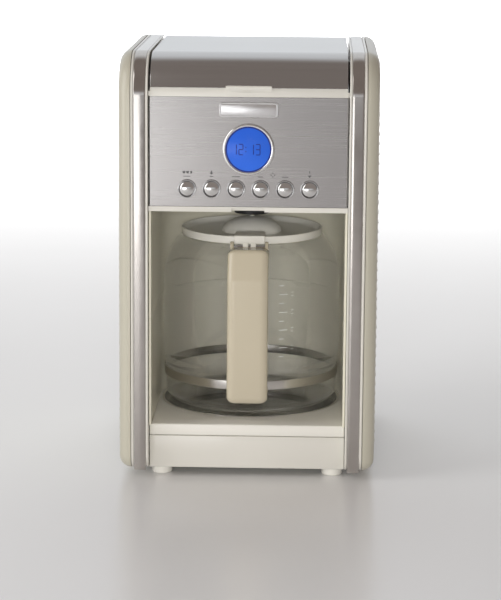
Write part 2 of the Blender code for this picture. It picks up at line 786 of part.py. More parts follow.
def badge():
    """A blank name plate with a raised border."""
    centre = (0, BADGE_Z)
    face = PANEL_Y - 1.5 * MM
    outline = rounded_rectangle(BADGE_WIDTH, BADGE_HEIGHT, 3 * MM, centre)
    plate = prism("badge", outline, -(PANEL_Y - GAP), -face, XZ_FRAME, "chrome")
    field = rounded_rectangle(BADGE_WIDTH - 2.4 * MM, BADGE_HEIGHT - 2.4 * MM, 2 * MM, centre)
    return cut(plate, prism("badge_field", field, -face - 0.4 * MM, -face + WALL, XZ_FRAME))


def lcd_bezel():
    profile = [
        (LCD_RADIUS - 0.8 * MM, 1.7 * MM),
        (LCD_RADIUS, 1.1 * MM),
        (LCD_RADIUS, GAP),
        (LCD_OPEN + 1 * MM, GAP),
        (LCD_OPEN + 1 * MM, -PANEL_SHEET - RUN),
        (LCD_OPEN, -PANEL_SHEET - RUN),
        (LCD_OPEN, 1.7 * MM),
    ]
    return turned("lcd_bezel", profile, "chrome", (0, PANEL_Y, LCD_Z), 40, TO_FRONT, closed=True)


def lcd_lens():
    start, end = (0, PANEL_Y - 0.8 * MM, LCD_Z), (0, PANEL_Y + 0.8 * MM, LCD_Z)
    return rod("lcd_lens", LCD_OPEN - GAP, start, end, "screen", 40)


def circuit_board():
    """The board with the display's module and a switch behind each button."""
    front = FRONT + BOARD_SETBACK
    low_z, high_z = BUTTON_Z - 8 * MM, LCD_Z + LCD_RADIUS + 1 * MM
    size = LCD_RADIUS - 1 * MM
    half = BUTTON_PITCH * BUTTON_COUNT / 2 + 3 * MM
    board = box("circuit_board", (-half, front, low_z), (half, front + 1.6 * MM, high_z), "board")
    module_low = (-size, front - 5.5 * MM, LCD_Z - 0.8 * size)
    join(board, box("module", module_low, (size, front + 0.8 * MM, LCD_Z + 0.8 * size)))
    z = BUTTON_Z
    for index in range(BUTTON_COUNT):
        x = button_x(index)
        low = (x - 3 * MM, front - 1.6 * MM, z - 3 * MM)
        join(board, box("switch", low, (x + 3 * MM, front + 0.8 * MM, z + 3 * MM)))
    return board


def button_ring(index):
    inner = BUTTON_RADIUS + GAP
    profile = [
        (inner + 0.6 * MM, 1.5 * MM),
        (inner + 1.1 * MM, 1.1 * MM),
        (inner + 1.1 * MM, GAP),
        (inner + 0.5 * MM, GAP),
        (inner + 0.5 * MM, -PANEL_SHEET - 2 * MM),
        (inner, -PANEL_SHEET - 2 * MM),
        (inner, 1.5 * MM),
    ]
    place_at = (button_x(index), PANEL_Y, BUTTON_Z)
    return turned(f"button_ring_{index + 1}", profile, "chrome", place_at, 20, TO_FRONT, closed=True)


def button(index):
    """A domed key with a flange that keeps it behind its ring, and a stem to the switch."""
    dome = 2.6 * MM
    flange = -PANEL_SHEET - 2.6 * MM
    stem_end = PANEL_Y - (FRONT + BOARD_SETBACK - 1.6 * MM) + BUTTON_TRAVEL + GAP
    profile = [
        (0, dome),
        (0.45 * BUTTON_RADIUS, 0.92 * dome),
        (0.82 * BUTTON_RADIUS, 0.64 * dome),
        (0.97 * BUTTON_RADIUS, 0.3 * dome),
        (BUTTON_RADIUS, 0),
        (BUTTON_RADIUS, flange),
        (BUTTON_RADIUS + 1.6 * MM, flange),
        (BUTTON_RADIUS + 1.6 * MM, flange - 1 * MM),
        (1.8 * MM, flange - 1 * MM),
        (1.8 * MM, stem_end),
        (0, stem_end),
    ]
    place_at = Vector((button_x(index), PANEL_Y, BUTTON_Z))
    key = turned(f"button_{index + 1}", profile, "chrome", place_at, 20, TO_FRONT)
    moving(f"button_axis_{index + 1}", place_at, key)


# ---------------------------------------------------------------- top cover


def cover_shell(name, outer, inner, lowest, half, look):
    outline = cover_line(outer, lowest) + cover_line(inner, lowest)[::-1]
    return prism(name, outline, -half, half, YZ_FRAME, look)


def top_cover():
    lowest = HEAD_TOP + 2.1 * MM
    return cover_shell("top_cover", COVER_SUNK, COVER_SUNK + COVER_SHEET, lowest, CORE_X - 1.4 * MM, "steel")


def lid_frame():
    """The cover's inner frame, with the finger tab in front and the hinge barrel behind."""
    outer = COVER_SUNK + COVER_SHEET + GAP
    lowest = HEAD_TOP + GAP
    half = CORE_X - 1.4 * MM
    frame = cover_shell("lid_frame", outer, outer + WALL, lowest, half, "cream")
    tab = box(
        "tab",
        (-TAB_WIDTH / 2, FRONT + RUN, lowest),
        (TAB_WIDTH / 2, FRONT + outer + WALL / 2, lowest + 1.5 * MM),
    )
    barrel = rod("barrel", BARREL_RADIUS, (-half, HINGE_Y, HINGE_Z), (half, HINGE_Y, HINGE_Z))
    ends = (-WIDTH, HINGE_Y, HINGE_Z), (WIDTH, HINGE_Y, HINGE_Z)
    bore = rod("bore", HINGE_PIN_RADIUS + GAP, *ends, steps=16)
    return cut(join(frame, tab, barrel), bore)


def shower_plate():
    """The water spreader under the cover: a pierced disc, its feed channel and two posts."""
    low = RISER_TOP + 2.5 * MM
    high = low + THIN_WALL
    roof = HEIGHT - COVER_SUNK - COVER_SHEET - 2 * GAP - WALL
    disc = rod("shower_plate", 30 * MM, (0, CARAFE_Y, low), (0, CARAFE_Y, high), "black_plastic", 40)
    length = Vector((RISER_X, RISER_Y - CARAFE_Y)).length
    channel = box("channel", (0, -5 * MM, low), (length, 5 * MM, low + 2 * THIN_WALL))
    heading = Vector((1, 0)).angle_signed(Vector((RISER_X, RISER_Y - CARAFE_Y)))
    channel.matrix_world = Matrix.Translation((0, CARAFE_Y, 0)) @ Matrix.Rotation(-heading, 4, "Z")
    cup = rod("cup", 8 * MM, (RISER_X, RISER_Y, low), (RISER_X, RISER_Y, low + 2 * THIN_WALL))
    join(disc, channel, cup)
    for side in (-1, 1):
        x = side * 20 * MM
        join(disc, rod("post", 3 * MM, (x, CARAFE_Y, low + THIN_WALL / 2), (x, CARAFE_Y, roof), steps=12))
    for x, y in arc((0, CARAFE_Y), 13 * MM, 0, 5 * pi / 3, 5):
        cut(disc, rod("spray_hole", 1.5 * MM, (x, y, low - WALL), (x, y, high + WALL), steps=8))
    return disc


def hinge_pin(name, sign):
    profile = [
        (0, 1 * MM),
        (BARREL_RADIUS, 1 * MM),
        (BARREL_RADIUS, 0),
        (HINGE_PIN_RADIUS, 0),
        (HINGE_PIN_RADIUS, -14 * MM),
        (0, -14 * MM),
    ]
    turn = Matrix.Rotation(sign * pi / 2, 4, "Y")
    return turned(name, profile, "steel", (sign * (FRAME_IN_X - GAP - 1 * MM), HINGE_Y, HINGE_Z), 16, turn)


# ---------------------------------------------------------------- brewing parts


def brew_basket():
    """The filter holder: a tapered bowl with a drip boss, whose hole the valve closes."""
    top, seat = BASKET_TOP, BASKET_BOTTOM
    foot_radius = BASKET_RADIUS - 4 * MM
    funnel = seat - 8 * MM
    outer = [
        (BASKET_FLANGE, top),
        (BASKET_FLANGE, top - WALL),
        (BASKET_RADIUS, top - WALL),
        (foot_radius, seat),
        (BASKET_SEAT, seat),
        (BOSS_RADIUS, funnel),
        (BOSS_RADIUS, BOSS_BOTTOM),
        (VALVE_HOLE, BOSS_BOTTOM),
    ]
    inner = [
        (VALVE_HOLE, VALVE_SEAT),
        (BOSS_RADIUS - THIN_WALL, VALVE_SEAT),
        (BOSS_RADIUS - THIN_WALL, funnel + THIN_WALL),
        (BASKET_SEAT - 1 * MM, seat + THIN_WALL),
        (foot_radius - THIN_WALL, seat + THIN_WALL),
        (BASKET_RADIUS - THIN_WALL, top),
    ]
    return turned("brew_basket", outer + inner, "black_plastic", (0, CARAFE_Y, 0), 36, closed=True)


def permanent_filter():
    """A conical filter cup that hangs on the basket's rim."""
    rim = BASKET_TOP + GAP
    wide, narrow = BASKET_RADIUS - THIN_WALL - 2.5 * MM, 28 * MM
    floor = BASKET_BOTTOM + 8 * MM
    sheet = 1.2 * MM
    profile = [
        (BASKET_RADIUS, rim + sheet),
        (BASKET_RADIUS, rim),
        (wide, rim),
        (narrow, floor),
        (0, floor),
        (0, floor + sheet),
        (narrow - sheet, floor + sheet),
        (wide - sheet, rim + sheet),
    ]
    return turned("permanent_filter", profile, "steel", (0, CARAFE_Y, 0), 32, closed=True)


def drip_stop_valve():
    head_low = VALVE_SEAT + VALVE_TRAVEL + RUN
    stem = VALVE_HOLE - 1.2 * MM
    tip = LID_TOP + DOME_HEIGHT + LID_PLAY
    profile = [
        (0, head_low + THIN_WALL),
        (9 * MM, head_low + THIN_WALL),
        (9 * MM, head_low),
        (stem, head_low),
        (stem, tip + 1 * MM),
        (stem - 1 * MM, tip),
        (0, tip),
    ]
    return turned("drip_stop_valve", profile, "black_plastic", (0, CARAFE_Y, 0), 24)


def drip_stop_spring():
    turns, radius = 4, 6 * MM
    low = VALVE_SEAT + VALVE_TRAVEL + RUN + THIN_WALL + 1 * MM
    high = BASKET_BOTTOM + 7 * MM
    count = turns * 12
    points = []
    for i in range(count + 1):
        angle = 2 * pi * i / 12
        points.append((radius * cos(angle), CARAFE_Y + radius * sin(angle), low + (high - low) * i / count))
    return tube("drip_stop_spring", points, 0.5 * MM, "steel", 0, samples=1)


def check_valve():
    start = (OUTLET_X, OUTLET_Y, SPLIT_Z + 1 * MM)
    end = (OUTLET_X, OUTLET_Y, TANK_BOTTOM - GAP)
    return rod("check_valve", 6.5 * MM, start, end, "silicone")


def cold_water_hose():
    low = BASE_Z + 14 * MM
    points = [
        (OUTLET_X, OUTLET_Y, SPLIT_Z + 1 * MM - RUN),
        (OUTLET_X, OUTLET_Y, SPLIT_Z - 8 * MM),
        (OUTLET_X - 1 * MM, OUTLET_Y - 9 * MM, low),
        (HEATER_END_X + 2 * MM, HEATER_END_Y + 28 * MM, low + 3 * MM),
        (HEATER_END_X, HEATER_END_Y + 19 * MM, HEATER_Z - 6 * MM),
        (HEATER_END_X, HEATER_END_Y + 10 * MM, HEATER_Z),
        (HEATER_END_X, HEATER_END_Y + RUN, HEATER_Z),
    ]
    return tube("cold_water_hose", points, HOSE_RADIUS, "silicone", samples=4)


def riser_way(name, low, high):
    """A cutter for the riser to pass through a floor with a clear gap."""
    return rod(name, HOSE_RADIUS + THIN_WALL, (RISER_X, RISER_Y, low), (RISER_X, RISER_Y, high))


def hot_water_riser():
    low = BASE_Z + 14 * MM
    bend = 16 * MM
    points = [
        (-HEATER_END_X, HEATER_END_Y + RUN, HEATER_Z),
        (-HEATER_END_X, HEATER_END_Y + 10 * MM, HEATER_Z),
        (-HEATER_END_X - 3 * MM, HEATER_END_Y + 20 * MM, HEATER_Z - 6 * MM),
        (-HEATER_END_X - 14 * MM, HEATER_END_Y + 24 * MM, low + 2 * MM),
        (RISER_X + bend, RISER_Y + 2 * MM, low),
        (RISER_X + 0.3 * bend, RISER_Y, low + 0.3 * bend),
        (RISER_X, RISER_Y, low + bend),
        (RISER_X, RISER_Y, DECK_Z + 8 * MM),
        (RISER_X, RISER_Y, HEAD_BOTTOM),
        (RISER_X, RISER_Y, RISER_TOP),
    ]
    return tube("hot_water_riser", points, HOSE_RADIUS, "silicone", samples=4)


# ---------------------------------------------------------------- carafe


def glass_profile():
    """The carafe's outer line from the mouth down to the middle of its bottom."""
    centre = GLASS_RADIUS - SHOULDER_WIDTH
    mouth = acos((MOUTH_RADIUS - centre) / SHOULDER_WIDTH)
    steps = 6
    line = []
    for i in range(steps + 1):
        angle = mouth * (1 - i / steps)
        line.append((centre + SHOULDER_WIDTH * cos(angle), SHOULDER_Z + SHOULDER_HEIGHT * sin(angle)))
    band = GLASS_RADIUS - BAND_TAPER
    line.append((GLASS_RADIUS, BAND_Z + BAND_HEIGHT + 14 * MM))
    line.append((band, BAND_Z + BAND_HEIGHT + 1 * MM))
    corner = 11 * MM
    line.append((band, BAND_Z - 1 * MM))
    line += [(r, z) for r, z in arc((band - corner, GLASS_BOTTOM + corner), corner, 0, -pi / 2, 4)]
    line.append((0, GLASS_BOTTOM + 1 * MM))
    return line


def carafe_glass():
    glass = turned("carafe_glass", glass_profile(), "glass", (0, CARAFE_Y, 0), 40)
    wall = glass.modifiers.new("wall", "SOLIDIFY")
    wall.thickness = GLASS_WALL
    wall.offset = -1
    wall.use_even_offset = True
    return glass


def carafe_band():
    inner = BAND_RADIUS - BAND_THICK
    top = BAND_Z + BAND_HEIGHT
    return ring("carafe_band", BAND_RADIUS, inner, BAND_Z, top, "steel", (0, CARAFE_Y, 0), 56)


def handle_outline():
    """The handle's side view, a C whose arms end at the band and at the glass neck."""
    front, back = GRIP_FRONT, GRIP_FRONT + HANDLE_THICK
    low = BAND_Z + BAND_HEIGHT - ARM_HEIGHT
    high = LID_PIN_Z
    knee = high - HANDLE_DROP
    band_end = CARAFE_Y - BAND_RADIUS - GAP
    neck_low = CARAFE_Y - glass_radius_at(high - ARM_HEIGHT) - 3 * GAP
    neck_high = CARAFE_Y - glass_radius_at(high - 1 * MM) - 3 * GAP
    round_out, round_in = 7 * MM, 4 * MM
    outline = [(band_end, low)]
    outline += arc((front + round_out, low + round_out), round_out, 3 * pi / 2, pi, 3)
    outline += [(front, knee), (front + 9 * MM, high + 1 * MM), (front + 12 * MM, high + 3 * MM)]
    outline += [(front + 16 * MM, high + 2 * MM), (neck_high, high - 1 * MM), (neck_low, high - ARM_HEIGHT)]
    outline += [(back + 14 * MM, high - ARM_HEIGHT), (back, knee - 3 * MM)]
    outline += arc((back + round_in, low + ARM_HEIGHT + round_in), round_in, pi, 3 * pi / 2, 3)
    outline.append((band_end, low + ARM_HEIGHT))
    return outline


def glass_radius_at(height):
    rise = (height - SHOULDER_Z) / SHOULDER_HEIGHT
    return GLASS_RADIUS - SHOULDER_WIDTH + SHOULDER_WIDTH * sqrt(1 - rise**2)


def carafe_handle():
    half = HANDLE_WIDTH / 2
    handle = prism("carafe_handle", handle_outline(), -half, half, YZ_FRAME, "cream")
    bevel(handle, HANDLE_ROUND, 3)
    ear_low = (LID_PIN_Y - 3.5 * MM, LID_PIN_Z - 3.2 * MM)
    ear_high = (LID_PIN_Y + 3.5 * MM, LID_PIN_Z + 4.5 * MM)
    slot_half = half - HANDLE_ROUND + RUN
    for side in (-1, 1):
        x_low, x_high = across(side, slot_half, slot_half + EAR_THICK)
        join(handle, box("ear", (x_low, *ear_low), (x_high, *ear_high)))
    slot_low = (-slot_half, LID_PIN_Y - 5 * MM, LID_PIN_Z - 3 * MM)
    cut(handle, box("slot", slot_low, (slot_half, LID_PIN_Y + 12 * MM, LID_PIN_Z + 9 * MM)))
    bore_half = half + 3 * MM
    start, end = (-bore_half, LID_PIN_Y, LID_PIN_Z), (bore_half, LID_PIN_Y, LID_PIN_Z)
    return cut(handle, rod("ear_bore", PIN_RADIUS + GAP, start, end, steps=16))


def lid_pin():
    half = HANDLE_WIDTH / 2 - HANDLE_ROUND + RUN + EAR_THICK
    start, end = (-half, LID_PIN_Y, LID_PIN_Z), (half, LID_PIN_Y, LID_PIN_Z)
    return rod("lid_pin", PIN_RADIUS, start, end, "steel", 16)


def lid_profile():
    """The dished lid with a dome in the middle, which has a hole for the coffee."""
    rim_in = MOUTH_RADIUS - LID_WALL
    dish = LID_TOP - 4.6 * MM
    dome, hole = 27 * MM, 2.5 * MM
    under = [(r, z - LID_WALL) for r, z in dome_line(dome, hole, dish)]
    upper = dome_line(dome, hole, dish)
    outer = [(MOUTH_RADIUS, LID_TOP), (MOUTH_RADIUS, LID_BOTTOM)]
    outer += [(rim_in, LID_BOTTOM), (rim_in, dish - LID_WALL)]
    return outer + under + upper[::-1] + [(rim_in - 3 * MM, dish), (rim_in - 0.5 * MM, LID_TOP)]


def dome_line(dome, hole, dish):
    top = LID_TOP + DOME_HEIGHT
    line = []
    for i in range(6):
        angle = pi / 2 * i / 5
        radius = max(dome * cos(angle), hole)
        line.append((radius, dish + (top - dish) * sin(angle)))
    return line


def carafe_lid():
    lid = turned("carafe_lid", lid_profile(), "cream", (0, CARAFE_Y, 0), 36, closed=True)
    block_half = HANDLE_WIDTH / 2 - HANDLE_ROUND - GAP
    rim_front = CARAFE_Y - MOUTH_RADIUS
    low = (-block_half, LID_PIN_Y - 0.5 * MM, LID_BOTTOM + 1.2 * MM)
    block = box("block", low, (block_half, rim_front + LID_WALL / 2 + 1 * MM, LID_TOP + 1 * MM))
    knuckle_low = (-KNUCKLE_HALF, LID_PIN_Y - 2.6 * MM, LID_PIN_Z - 2.4 * MM)
    knuckle = box("knuckle", knuckle_low, (KNUCKLE_HALF, LID_PIN_Y + 2.6 * MM, LID_BOTTOM + 3 * MM))
    start, end = (-WIDTH, LID_PIN_Y, LID_PIN_Z), (WIDTH, LID_PIN_Y, LID_PIN_Z)
    return cut(join(lid, block, knuckle), rod("knuckle_bore", PIN_RADIUS + GAP, start, end, steps=16))


# ---------------------------------------------------------------- the whole


def build_casing():
    for name, sign in (("left", -1), ("right", 1)):
        side_panel("side_panel_" + name, sign)
        side_frame("side_frame_" + name, sign)
        trim_strip("trim_strip_" + name, sign)
        hinge_pin("hinge_pin_" + name, sign)
    rear_cover()
    cord_gland()


def build_base():
    base_shell()
    base_deck()
    bottom_cover()
    for end_name, end in (("front", -1), ("rear", 1)):
        for side_name, side in (("left", -1), ("right", 1)):
            foot(f"foot_{end_name}_{side_name}", side, end)
    warming_plate()
    plate_rim()
    heating_element()
    thermostat()
    split = DECK_Z + NICHE_SPLIT * (HEAD_BOTTOM - DECK_Z)
    niche_wall("niche_wall_lower", DECK_Z + GAP, split - GAP / 2)
    niche_wall("niche_wall_upper", split + GAP / 2, HEAD_BOTTOM - GAP)


def build_head():
    head_housing()
    control_panel()
    badge()
    lcd_bezel()
    lcd_lens()
    circuit_board()
    for index in range(BUTTON_COUNT):
        button_ring(index)
        button(index)
    moving("top_cover_hinge", (0, HINGE_Y, HINGE_Z), top_cover(), lid_frame(), shower_plate())


def build_water_path():
    water_tank()
    check_valve()
    cold_water_hose()
    hot_water_riser()
    centre = (0, CARAFE_Y, BASKET_BOTTOM)
    moving("basket_lift", centre, brew_basket(), permanent_filter(), drip_stop_spring())
    moving("valve_lift", (0, CARAFE_Y, VALVE_SEAT), drip_stop_valve())


def build_carafe():
    middle = (0, CARAFE_Y, GLASS_BOTTOM)
    moving("carafe_slide", middle, carafe_glass(), carafe_band(), carafe_handle(), lid_pin())
    moving("carafe_lid_hinge", (0, LID_PIN_Y, LID_PIN_Z), carafe_lid())


clear_scene()
parts = new_collection(OBJECT_NAME)
cutters = new_collection("cutters")
cutters.hide_render = True
build_casing()
build_base()
build_head()
build_water_path()
build_carafe()
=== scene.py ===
"""The looks of the drip coffee maker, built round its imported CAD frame.

Metres, +Z up, the front faces -Y. Every size that the frame holds is read from it.
"""

import json
from math import acos, cos, pi, radians, sin, sqrt

import bmesh
import bpy
from mathutils import Matrix, Vector


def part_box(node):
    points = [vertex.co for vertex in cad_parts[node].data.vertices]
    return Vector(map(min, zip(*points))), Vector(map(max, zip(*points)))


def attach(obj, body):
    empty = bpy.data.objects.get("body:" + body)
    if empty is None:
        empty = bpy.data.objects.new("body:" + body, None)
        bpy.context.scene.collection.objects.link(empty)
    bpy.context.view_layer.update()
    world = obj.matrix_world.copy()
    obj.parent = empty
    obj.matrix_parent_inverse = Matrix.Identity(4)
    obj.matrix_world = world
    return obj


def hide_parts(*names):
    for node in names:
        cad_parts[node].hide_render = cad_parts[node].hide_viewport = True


MM = 0.001

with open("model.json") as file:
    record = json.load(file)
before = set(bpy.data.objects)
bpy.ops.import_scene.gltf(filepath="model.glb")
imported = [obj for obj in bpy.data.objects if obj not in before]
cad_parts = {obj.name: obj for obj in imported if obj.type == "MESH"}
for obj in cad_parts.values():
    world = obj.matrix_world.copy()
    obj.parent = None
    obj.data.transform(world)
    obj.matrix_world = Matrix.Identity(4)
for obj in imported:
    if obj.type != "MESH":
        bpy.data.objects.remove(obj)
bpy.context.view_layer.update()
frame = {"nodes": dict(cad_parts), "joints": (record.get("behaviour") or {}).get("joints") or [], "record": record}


def low(node):
    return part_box(node)[0]


def high(node):
    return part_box(node)[1]


# Casing
FRONT, REAR = low("side_frame_left").y, high("side_frame_left").y
BASE_Z, TOP = low("side_frame_left").z, high("side_frame_left").z
FRAME_IN, FRAME_OUT = low("side_frame_right").x, high("side_frame_right").x
PANEL_IN, HALF_WIDTH = low("side_panel_right").x, high("side_panel_right").x
STRIP_IN, STRIP_OUT = low("trim_strip_right").x, high("trim_strip_right").x
STRIP_LOW = low("trim_strip_right").z
FRONT_TOP_RADIUS = 36 * MM
REAR_TOP_RADIUS = 57 * MM
BOTTOM_RADIUS = 13 * MM
RIB_PROUD = 0.8 * MM
RIB_HEIGHT = 2.6 * MM
RIB_PITCH = 8.44 * MM
RIB_SUNK = 0.1 * MM
FIRST_RIB = 26 * MM
RIB_COUNT = 35
PANEL_EDGE = HALF_WIDTH - RIB_PROUD - PANEL_IN
WEB = 2.5 * MM
STRIP_SUNK = 0.2 * MM
STRIP_THICK = 0.8 * MM
STRIP_CROWN = 0.25 * MM
GROOVE = 1.3 * MM
COVER_SUNK = 1 * MM
COVER_SHEET = 1 * MM
COVER_END = radians(60)
COVER_RAISED = 1.2 * MM

# Niche, plate and carafe
DECK_Z = high("base_deck").z
CARAFE_Y = (low("carafe_glass").y + high("carafe_glass").y) / 2
PLATE_RADIUS = high("warming_plate").x
PLATE_TOP = high("warming_plate").z
RIM_RADIUS = high("plate_rim").x
RIM_TOP = high("plate_rim").z
GLASS_RADIUS = high("carafe_glass").x
GLASS_BOTTOM, GLASS_TOP = low("carafe_glass").z, high("carafe_glass").z
GLASS_WALL = 2 * MM
SHOULDER_HEIGHT = 44 * MM
SHOULDER_WIDTH = 34.5 * MM
MOUTH_RADIUS = high("carafe_lid").x
SHOULDER_DROP = sqrt(1 - ((MOUTH_RADIUS - GLASS_RADIUS) / SHOULDER_WIDTH + 1) ** 2)
SHOULDER_Z = GLASS_TOP - SHOULDER_HEIGHT * SHOULDER_DROP
BAND_LOW, BAND_HIGH = low("carafe_band").z, high("carafe_band").z
BAND_RADIUS = high("carafe_band").x
BAND_TAPER = 2.2 * MM
DOME_HEIGHT = 9 * MM
LID_TOP = high("carafe_lid").z - DOME_HEIGHT
LID_BOTTOM = GLASS_TOP + 0.5 * MM
PIN = (low("lid_pin") + high("lid_pin")) / 2
PIN_RADIUS = high("lid_pin").z - PIN.z
HANDLE_LOW, HANDLE_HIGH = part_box("carafe_handle")

# Controls
PANEL_LOW, PANEL_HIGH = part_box("control_panel")
PANEL_Y = PANEL_LOW.y
LCD = (low("lcd_bezel") + high("lcd_bezel")) / 2
LCD_RADIUS = high("lcd_bezel").x
LCD_OPEN = high("lcd_lens").x
BADGE_LOW, BADGE_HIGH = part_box("badge")
BUTTONS = 6
INK_DEPTH = 0.02 * MM
DIGIT_SUNK, DIGIT_PROUD = 0.05 * MM, 0.2 * MM

TO_FRONT = Matrix.Rotation(pi / 2, 4, "X")
YZ_FRAME = Matrix(((0, 0, 1), (1, 0, 0), (0, 1, 0))).to_4x4()


# ---------------------------------------------------------------- materials


class Nodes:
    """A material's node tree with short calls for the nodes that the finishes share."""

    def __init__(self, name):
        self.material = bpy.data.materials.new(name)
        self.material.use_nodes = True
        self.tree = self.material.node_tree
        self.shader = self.tree.nodes["Principled BSDF"]
        self.coordinates = self.tree.nodes.new("ShaderNodeTexCoord").outputs["Object"]

    def set(self, **values):
        for socket, value in values.items():
            self.shader.inputs[socket.replace("_", " ")].default_value = value

    def link(self, output, socket):
        self.tree.links.new(output, self.shader.inputs[socket])

    def stretched(self, scale):
        mapping = self.tree.nodes.new("ShaderNodeMapping")
        mapping.inputs["Scale"].default_value = scale
        self.tree.links.new(self.coordinates, mapping.inputs["Vector"])
        return mapping.outputs["Vector"]

    def noise(self, scale, detail=3.0, stretch=None):
        node = self.tree.nodes.new("ShaderNodeTexNoise")
        node.inputs["Scale"].default_value = scale
        node.inputs["Detail"].default_value = detail
        self.tree.links.new(self.stretched(stretch) if stretch else self.coordinates, node.inputs["Vector"])
        return node.outputs["Fac"]

    def ramp(self, factor, *stops):
        node = self.tree.nodes.new("ShaderNodeValToRGB")
        elements = node.color_ramp.elements
        while len(elements) < len(stops):
            elements.new(0.5)
        for element, (position, colour) in zip(elements, stops):
            element.position = position
            element.color = (*colour, 1)
        self.tree.links.new(factor, node.inputs["Fac"])
        return node.outputs["Color"]

    def between(self, factor, least, most):
        node = self.tree.nodes.new("ShaderNodeMapRange")
        node.inputs["To Min"].default_value = least
        node.inputs["To Max"].default_value = most
        self.tree.links.new(factor, node.inputs["Value"])
        return node.outputs["Result"]

    def bump(self, height, strength, distance):
        node = self.tree.nodes.new("ShaderNodeBump")
        node.inputs["Strength"].default_value = strength
        node.inputs["Distance"].default_value = distance
        self.tree.links.new(height, node.inputs["Height"])
        self.link(node.outputs["Normal"], "Normal")


def tint(colour, factor):
    return tuple(min(1.0, c * factor) for c in colour)


def plastic(name, colour, roughness=0.28, coat=0.25, grain=900.0):
    """Moulded plastic: faint cloudiness in its colour and a fine moulded grain."""
    made = Nodes(name)
    cloud = made.noise(14, 4)
    made.link(made.ramp(cloud, (0.3, tint(colour, 0.985)), (0.7, tint(colour, 1.01))), "Base Color")
    made.link(made.between(cloud, roughness - 0.02, roughness + 0.03), "Roughness")
    made.bump(made.noise(grain, 2), 0.03, 0.00005)
    made.set(Coat_Weight=coat, Coat_Roughness=0.12, IOR=1.5)
    return made.material


def brushed(name, colour, stretch, roughness=0.3, anisotropic=0.5):
    """Brushed sheet metal: long fine scratches along one axis."""
    made = Nodes(name)
    lines = made.noise(1.0, 6, stretch)
    made.link(made.ramp(lines, (0.25, tint(colour, 0.95)), (0.75, tint(colour, 1.03))), "Base Color")
    made.link(made.between(lines, roughness - 0.03, roughness + 0.04), "Roughness")
    made.bump(lines, 0.02, 0.00005)
    made.set(Metallic=1.0, Anisotropic=anisotropic)
    return made.material


def polished(name, colour, roughness=0.07):
    """Plated or polished metal with a little uneven haze."""
    made = Nodes(name)
    haze = made.noise(90, 4)
    made.link(made.ramp(haze, (0.3, tint(colour, 0.96)), (0.7, tint(colour, 1.03))), "Base Color")
    made.link(made.between(haze, roughness * 0.7, roughness * 1.6), "Roughness")
    made.set(Metallic=1.0)
    return made.material


def clear_glass(name, colour, ior=1.47, waviness=0.02, body=0.04):
    """Thin clear walls: light passes straight through face on, and edges gather into a darker line."""
    made = Nodes(name)
    waves = made.noise(22, 2)
    slope = made.tree.nodes.new("ShaderNodeLayerWeight")
    slope.inputs["Blend"].default_value = 0.35
    made.link(made.between(slope.outputs["Facing"], body, 0.8), "Alpha")
    made.link(made.ramp(waves, (0.2, tint(colour, 0.99)), (0.8, colour)), "Base Color")
    made.link(made.between(waves, 0.0, 0.012), "Roughness")
    made.bump(waves, waviness, 0.0006)
    made.set(Transmission_Weight=1.0, IOR=ior, Coat_Weight=1.0, Coat_Roughness=0.01)
    return made.material


def enamel(name, colour):
    made = Nodes(name)
    speck = made.noise(420, 5)
    made.link(made.ramp(speck, (0.35, colour), (0.8, tint(colour, 1.8))), "Base Color")
    made.link(made.between(made.noise(35, 3), 0.1, 0.2), "Roughness")
    made.set(Coat_Weight=0.6, Coat_Roughness=0.04)
    return made.material


def rubber(name, colour):
    made = Nodes(name)
    grain = made.noise(500, 4)
    made.link(made.ramp(grain, (0.3, tint(colour, 0.9)), (0.7, tint(colour, 1.05))), "Base Color")
    made.link(made.between(grain, 0.5, 0.7), "Roughness")
    made.bump(grain, 0.15, 0.0002)
    return made.material


def woven_mesh(name, colour):
    """Fine woven filter mesh: crossed waves raise the wires."""
    made = Nodes(name)
    weave = made.tree.nodes.new("ShaderNodeTexChecker")
    weave.inputs["Scale"].default_value = 1400
    made.tree.links.new(made.coordinates, weave.inputs["Vector"])
    made.link(made.ramp(weave.outputs["Fac"], (0.0, tint(colour, 0.55)), (1.0, colour)), "Base Color")
    made.link(made.between(made.noise(80, 3), 0.3, 0.45), "Roughness")
    made.bump(weave.outputs["Fac"], 0.3, 0.0002)
    made.set(Metallic=1.0)
    return made.material


def laminate(name, colour):
    made = Nodes(name)
    tracks = made.noise(160, 1, (1, 1, 6))
    made.link(made.ramp(tracks, (0.48, colour), (0.5, tint(colour, 1.8)), (0.56, colour)), "Base Color")
    made.link(made.between(tracks, 0.35, 0.55), "Roughness")
    return made.material


def display_blue(name):
    """The lit blue window, its colour and glow a little uneven from place to place."""
    made = Nodes(name)
    spread = made.noise(9, 2)
    made.link(made.ramp(spread, (0.3, (0.012, 0.07, 0.5)), (0.7, (0.02, 0.1, 0.6))), "Base Color")
    made.link(made.between(spread, 0.12, 0.2), "Roughness")
    made.link(made.ramp(spread, (0.3, (0.025, 0.09, 0.3)), (0.7, (0.04, 0.13, 0.38))), "Emission Color")
    made.set(Emission_Strength=0.5, Specular_IOR_Level=0.25)
    return made.material


def ink(name, colour):
    made = Nodes(name)
    wear = made.noise(700, 3)
    made.link(made.ramp(wear, (0.3, tint(colour, 0.85)), (0.7, tint(colour, 1.15))), "Base Color")
    made.link(made.between(wear, 0.4, 0.55), "Roughness")
    return made.material


def floor_white(name):
    made = Nodes(name)
    cloud = made.noise(2, 3)
    made.link(made.ramp(cloud, (0.3, (0.86, 0.86, 0.86)), (0.7, (0.88, 0.88, 0.88))), "Base Color")
    made.link(made.between(cloud, 0.22, 0.27), "Roughness")
    made.set(IOR=1.4)
    return made.material


